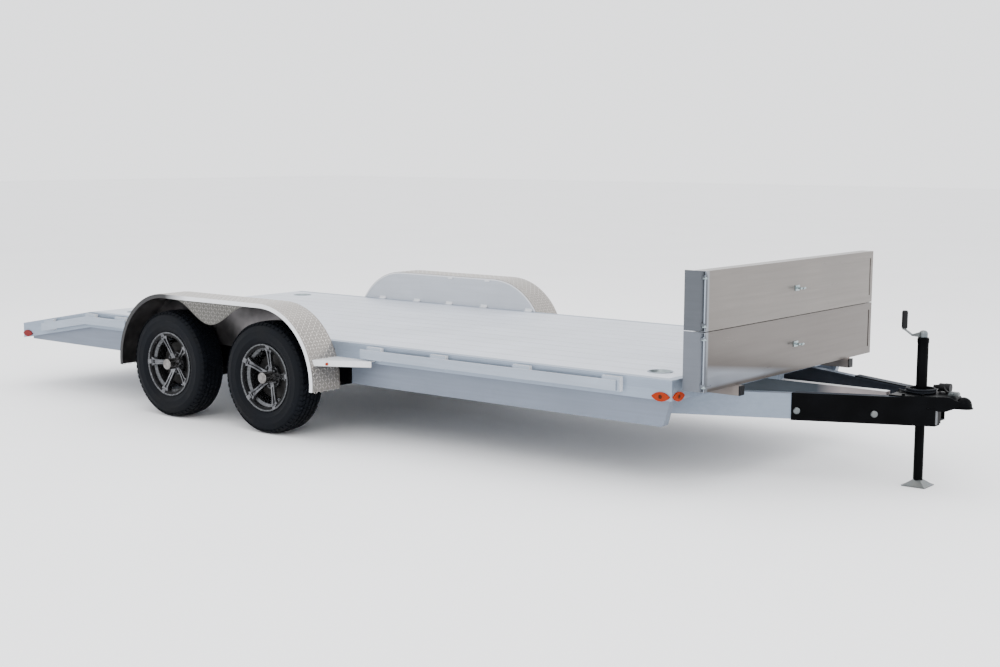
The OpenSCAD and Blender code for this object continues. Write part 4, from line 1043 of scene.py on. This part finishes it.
# Clips of the fenders' inner panels: places ahead of the middle between the axles, and
# blocks as (half length, thickness, low, high).
FOOT_CLIPS, TOP_CLIPS = (-0.64, -0.29, 0.03, 0.36, 0.77), (0.04, 0.39)
FOOT_BLOCKS = ((0.030, 0.022, 0, 0.004), (0.030, 0.004, 0, 0.020))
TOP_BLOCK = (0.022, 0.006, -0.020, -0.008)
# Outline of the panels' bright edge: depth under the skin, and thickness.
EDGE_OUTLINE = ((0.003, 0), (0.003, 0.002), (0.013, 0.002), (0.013, 0))
# The edge starts this far over the deck.
EDGE_UP = 0.004


def add_clip_block(pile, x, side, level, block):
    """One block of a clip, on a panel's face that looks over the deck."""
    half, thick, low, high = block
    y0, y1 = sorted((side * EDGE, side * (EDGE - thick)))
    pile.block((x - half, y0, level + low), (x + half, y1, level + high))


def add_panel_trim():
    """Clips and bright edge of the fenders' inner panels, seen across the deck."""
    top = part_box("fender_panels")[1].z
    rim = [p for p in fender_path() if p[1] > DECK_Z + EDGE_UP]
    clips, edge = Pile(), Pile()
    for _, side in SIDES:
        for ahead in FOOT_CLIPS:
            for block in FOOT_BLOCKS:
                add_clip_block(clips, MID_AXLE + ahead, side, DECK_Z, block)
        for ahead in TOP_CLIPS:
            add_clip_block(clips, MID_AXLE + ahead, side, top, TOP_BLOCK)
        verts = [(x - nx * deep, side * (EDGE - thick), z - nz * deep)
                 for x, z, nx, nz in rim for deep, thick in EDGE_OUTLINE]
        faces = [(4 * i + j, 4 * i + 4 + j, 4 * i + 4 + (j + 1) % 4, 4 * i + (j + 1) % 4)
                 for i in range(len(rim) - 1) for j in range(4)]
        edge.add(verts, faces + [(0, 1, 2, 3), tuple(range(len(verts) - 1, len(verts) - 5, -1))])
    clips.piece("panel_clips", TRAILER, "frame_aluminium", BRIGHT)
    edge.piece("panel_edges", TRAILER, "frame_aluminium", BRIGHT)


# Lands between the front rail's grooves: pitch, height, thickness and gap at the rail's ends.
LANDS, LAND_PITCH, LAND_H, LAND_T, LAND_GAP = 5, 0.009, 0.0065, 0.0012, 0.002
FIRST_LAND_DOWN, TOP_LAND_DOWN = 0.012, 0.0015


def add_rail_trim():
    """Raised lands on the front rail's face, in line with the side rails' grooves."""
    lands = [(-FIRST_LAND_DOWN, -TOP_LAND_DOWN)]
    for k in range(1, LANDS + 1):
        low = -FIRST_LAND_DOWN - LAND_PITCH * k
        lands.append((low, low + LAND_H))
    pile = Pile()
    for low, high in lands:
        pile.block((X_FRONT, LAND_GAP - EDGE, DECK_Z + low),
                   (X_FRONT + LAND_T, EDGE - LAND_GAP, DECK_Z + high))
    pile.piece("front_rail_lands", TRAILER, "frame_aluminium", LOOKS["frame_aluminium"])


# How far the dark sheets go past the axles, their thickness, and their depth under the beams' top.
SHADE_SHEET_PAST, SHADE_SHEET_T, SHADE_SHEET_DOWN = 0.415, 0.0015, 0.004


def add_rail_shade_sheets():
    """Dark sheets on the side rails behind the tyres, in the fenders' inner look: painted shade."""
    pile = Pile()
    low, high = BEAM_TOP - SHADE_SHEET_DOWN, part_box("fender_panels")[0].z
    for _, side in SIDES:
        y0, y1 = sorted((side * EDGE, side * (EDGE + SHADE_SHEET_T)))
        pile.block((REAR_AXLE.x - SHADE_SHEET_PAST, y0, low),
                   (FRONT_AXLE.x + SHADE_SHEET_PAST, y1, high))
    pile.piece("rail_shade_sheets", TRAILER, "black_paint", INSIDE)


BOSS_PROFILE = [(0.021, 0), (0.022, 0.004), (0.022, 0.024), (0.017, 0.033), (0.008, 0.037),
                (0, 0.038)]
# Both ends of the boss's arm: X from the jack's axis, half width, low and high.
ARM_ENDS = ((-0.012, 0.016, 0.002, 0.030), (-0.062, 0.010, 0.004, 0.012))


def add_crank_boss():
    """The cast boss on the jack's top, which runs out into the crank's arm."""
    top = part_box("jack_tube")[1].z
    pile = Pile()
    pile.lathe(BOSS_PROFILE, Matrix.Translation((X_JACK, 0, top)), 28)
    verts = [(X_JACK + x, y, top + z) for x, half, low, high in ARM_ENDS
             for y, z in ((-half, low), (half, low), (half, high), (-half, high))]
    pile.add(verts, RING_FACES)
    pile.piece("crank_boss", TRAILER, "zinc_plate", LOOKS["zinc_plate"])


PIN_PROFILE = [(0, 0), (0.0125, 0), (0.0135, 0.002), (0.0135, 0.004), (0.0080, 0.005),
               (0.0080, 0.010), (0, 0.011)]
# The pins' places over a ramp's foot and under its top.
LOW_PIN, HIGH_PIN = 0.022, 0.040


def add_ramp_pins():
    """Heads on both ends of the rods at the ramps' right ends."""
    pile = Pile()
    for name in RAMPS:
        lo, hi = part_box(name)
        for z in (lo.z + LOW_PIN, hi.z - HIGH_PIN):
            pile.lathe(PIN_PROFILE, Matrix.Translation((*ramp_rod(name), z)), 20)
    pile.piece("ramp_pins", TRAILER, "zinc_plate", PIN)


# The right sleeve's nose: its length, wall, floor and lap behind the coupler's skirt, and the
# offsets at which its floor and the dark part behind the bare rail end.
NOSE_LONG, NOSE_WALL, NOSE_FLOOR, NOSE_LAP = 0.040, 0.007, 0.006, 0.012
NOSE_INNER, NOSE_BACK = 0.063, 0.045
# The bare rail's end: its inner face, in from the sleeve's outer one, and how far it is short.
RAIL_END_BACK, RAIL_END_SHORT = 0.036, 0.001


def add_sleeve_nose():
    """Front of the right tongue sleeve under the coupler, with the bare rail's end in it."""
    lo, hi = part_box("tongue_sleeves")
    outer = hi.y - (hi.x - lo.x) * math.tan(TONGUE_ANGLE)
    wall, back = outer - NOSE_WALL, outer - RAIL_END_BACK
    floor, top = lo.z + NOSE_FLOOR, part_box("coupler")[0].z + NOSE_LAP
    short = NOSE_LONG - RAIL_END_SHORT
    black, bare = Pile(), Pile()

    def wedge(pile, y0, y1, z0, z1, long):
        ends = ((hi.x, 0.0), (hi.x + long, long * math.tan(TONGUE_ANGLE)))
        verts = [(x, inward - y, z) for z in (z0, z1) for y in (y0, y1) for x, inward in ends]
        pile.add(verts, BLOCK_FACES)

    wedge(black, wall, outer, lo.z, top, NOSE_LONG)
    wedge(black, NOSE_INNER, wall, lo.z, floor, NOSE_LONG)
    wedge(bare, back, wall, floor, top, short)
    wedge(black, NOSE_BACK, back, floor, top, short)
    black.piece("sleeve_nose", TRAILER, "black_paint", LOOKS["black_paint"])
    # The bare rail's end takes the ramps' end look, painted shade.
    bare.piece("rail_end", TRAILER, "frame_aluminium", SHADED_RAMP_END["ramp_upper"])


GEAR_BOLT_PITCH, GEAR_BOLT_FIRST, GEAR_BOLT_LAST, GEAR_BOLT_IN = 0.155, 0.05, 0.03, 0.030


def add_gear_bolts():
    """Two rows of bolts that hold the axle plates to the frame's beams."""
    pile = Pile()
    lo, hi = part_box("axle_plates")
    count = math.ceil((hi.x - lo.x - GEAR_BOLT_FIRST - GEAR_BOLT_LAST) / GEAR_BOLT_PITCH)
    for _, side in SIDES:
        for k in range(count):
            x = lo.x + GEAR_BOLT_FIRST + GEAR_BOLT_PITCH * k
            for z in (BEAM_LOW + GEAR_BOLT_IN, BEAM_TOP - GEAR_BOLT_IN):
                bolt(pile, (x, side * hi.y, z), (0, side, 0), GEAR_BOLT)
    pile.piece("axle_plate_bolts", TRAILER, "black_paint", LOOKS["black_paint"])


SPOT_PROFILE = [(0.011, 0), (0.010, 0.0006), (0, 0.0008)]
# An amber lamp's middle: under the deck, out from the rail's face, and from the deck's corner.
LAMP_DOWN, LAMP_OUT, SIDE_LAMP_BACK, FRONT_LAMP_IN = 0.088, 0.008, 0.063, 0.060


def add_lamp_spots():
    """The dark bulb spot in the middle of each amber lens."""
    pile = Pile()
    z = DECK_Z - LAMP_DOWN
    for _, side in SIDES:
        pile.lathe(SPOT_PROFILE, frame_at((X_FRONT - SIDE_LAMP_BACK, side * (EDGE + LAMP_OUT), z),
                                          (0, side, 0)), 24)
        pile.lathe(SPOT_PROFILE, frame_at((X_FRONT + LAMP_OUT, side * (EDGE - FRONT_LAMP_IN), z),
                                          (1, 0, 0)), 24)
    pile.piece("lamp_spots", TRAILER, "amber_lens", BULB)


# Floor and light

FLOOR_HALF, FLOOR_DOWN = 60, 0.0005
FLOOR_COLORS = ((0.91, 0.91, 0.915), (0.93, 0.93, 0.935))
SKY_COLOR, SKY_STRENGTH = (0.97, 0.98, 1.0, 1), 2.1
# Lamps as (name, place, size in X and Y, watts); each looks at the trailer's middle.
LAMPS = (("key", (5.5, -6.5, 6.5), 5.0, 300), ("front", (9.5, 1.5, 4.0), 4.5, 160),
         ("top", (-1.0, 0.5, 8.5), 9.0, 420), ("side", (-6.5, -6.5, 4.0), 5.0, 120))
LAMP_AIM = Vector((0.4, 0, 0.5))


def add_floor():
    s = FLOOR_HALF
    look = Look("floor", FLOOR_COLORS[0], 0.8)
    look.mottle(look.noise(0.6, detail=2), 0.3, 0.7, *FLOOR_COLORS)
    floor = mesh_object("floor", [(-s, -s, 0), (s, -s, 0), (s, s, 0), (-s, s, 0)],
                        [(0, 1, 2, 3)], look.mat)
    floor.location.z = -FLOOR_DOWN


def add_light():
    world = bpy.data.worlds.new("studio")
    world.use_nodes = True
    sky = world.node_tree.nodes["Background"]
    sky.inputs["Color"].default_value = SKY_COLOR
    sky.inputs["Strength"].default_value = SKY_STRENGTH
    bpy.context.scene.world = world
    for name, place, size, watts in LAMPS:
        data = bpy.data.lights.new(name, "AREA")
        data.shape, data.size, data.energy = "SQUARE", size, watts
        lamp = place_in_scene(name, data)
        lamp.matrix_world = frame_at(place, Vector(place) - LAMP_AIM)


add_camera()
dress_nodes()
paint_nodes()
add_lead()
add_light()
add_floor()
for axle in AXLES:
    for hand, sign in SIDES:
        add_tyre(f"{axle}_{hand}", sign)
        add_wheel_trim(axle, hand, sign)
for hand, sign in SIDES:
    add_tread(hand, sign)
    add_valance_tread(hand, sign)
add_tongue_hardware()
add_panel_trim()
add_rail_trim()
add_rail_shade_sheets()
add_crank_boss()
add_ramp_pins()
add_sleeve_nose()
add_gear_bolts()
add_lamp_spots()
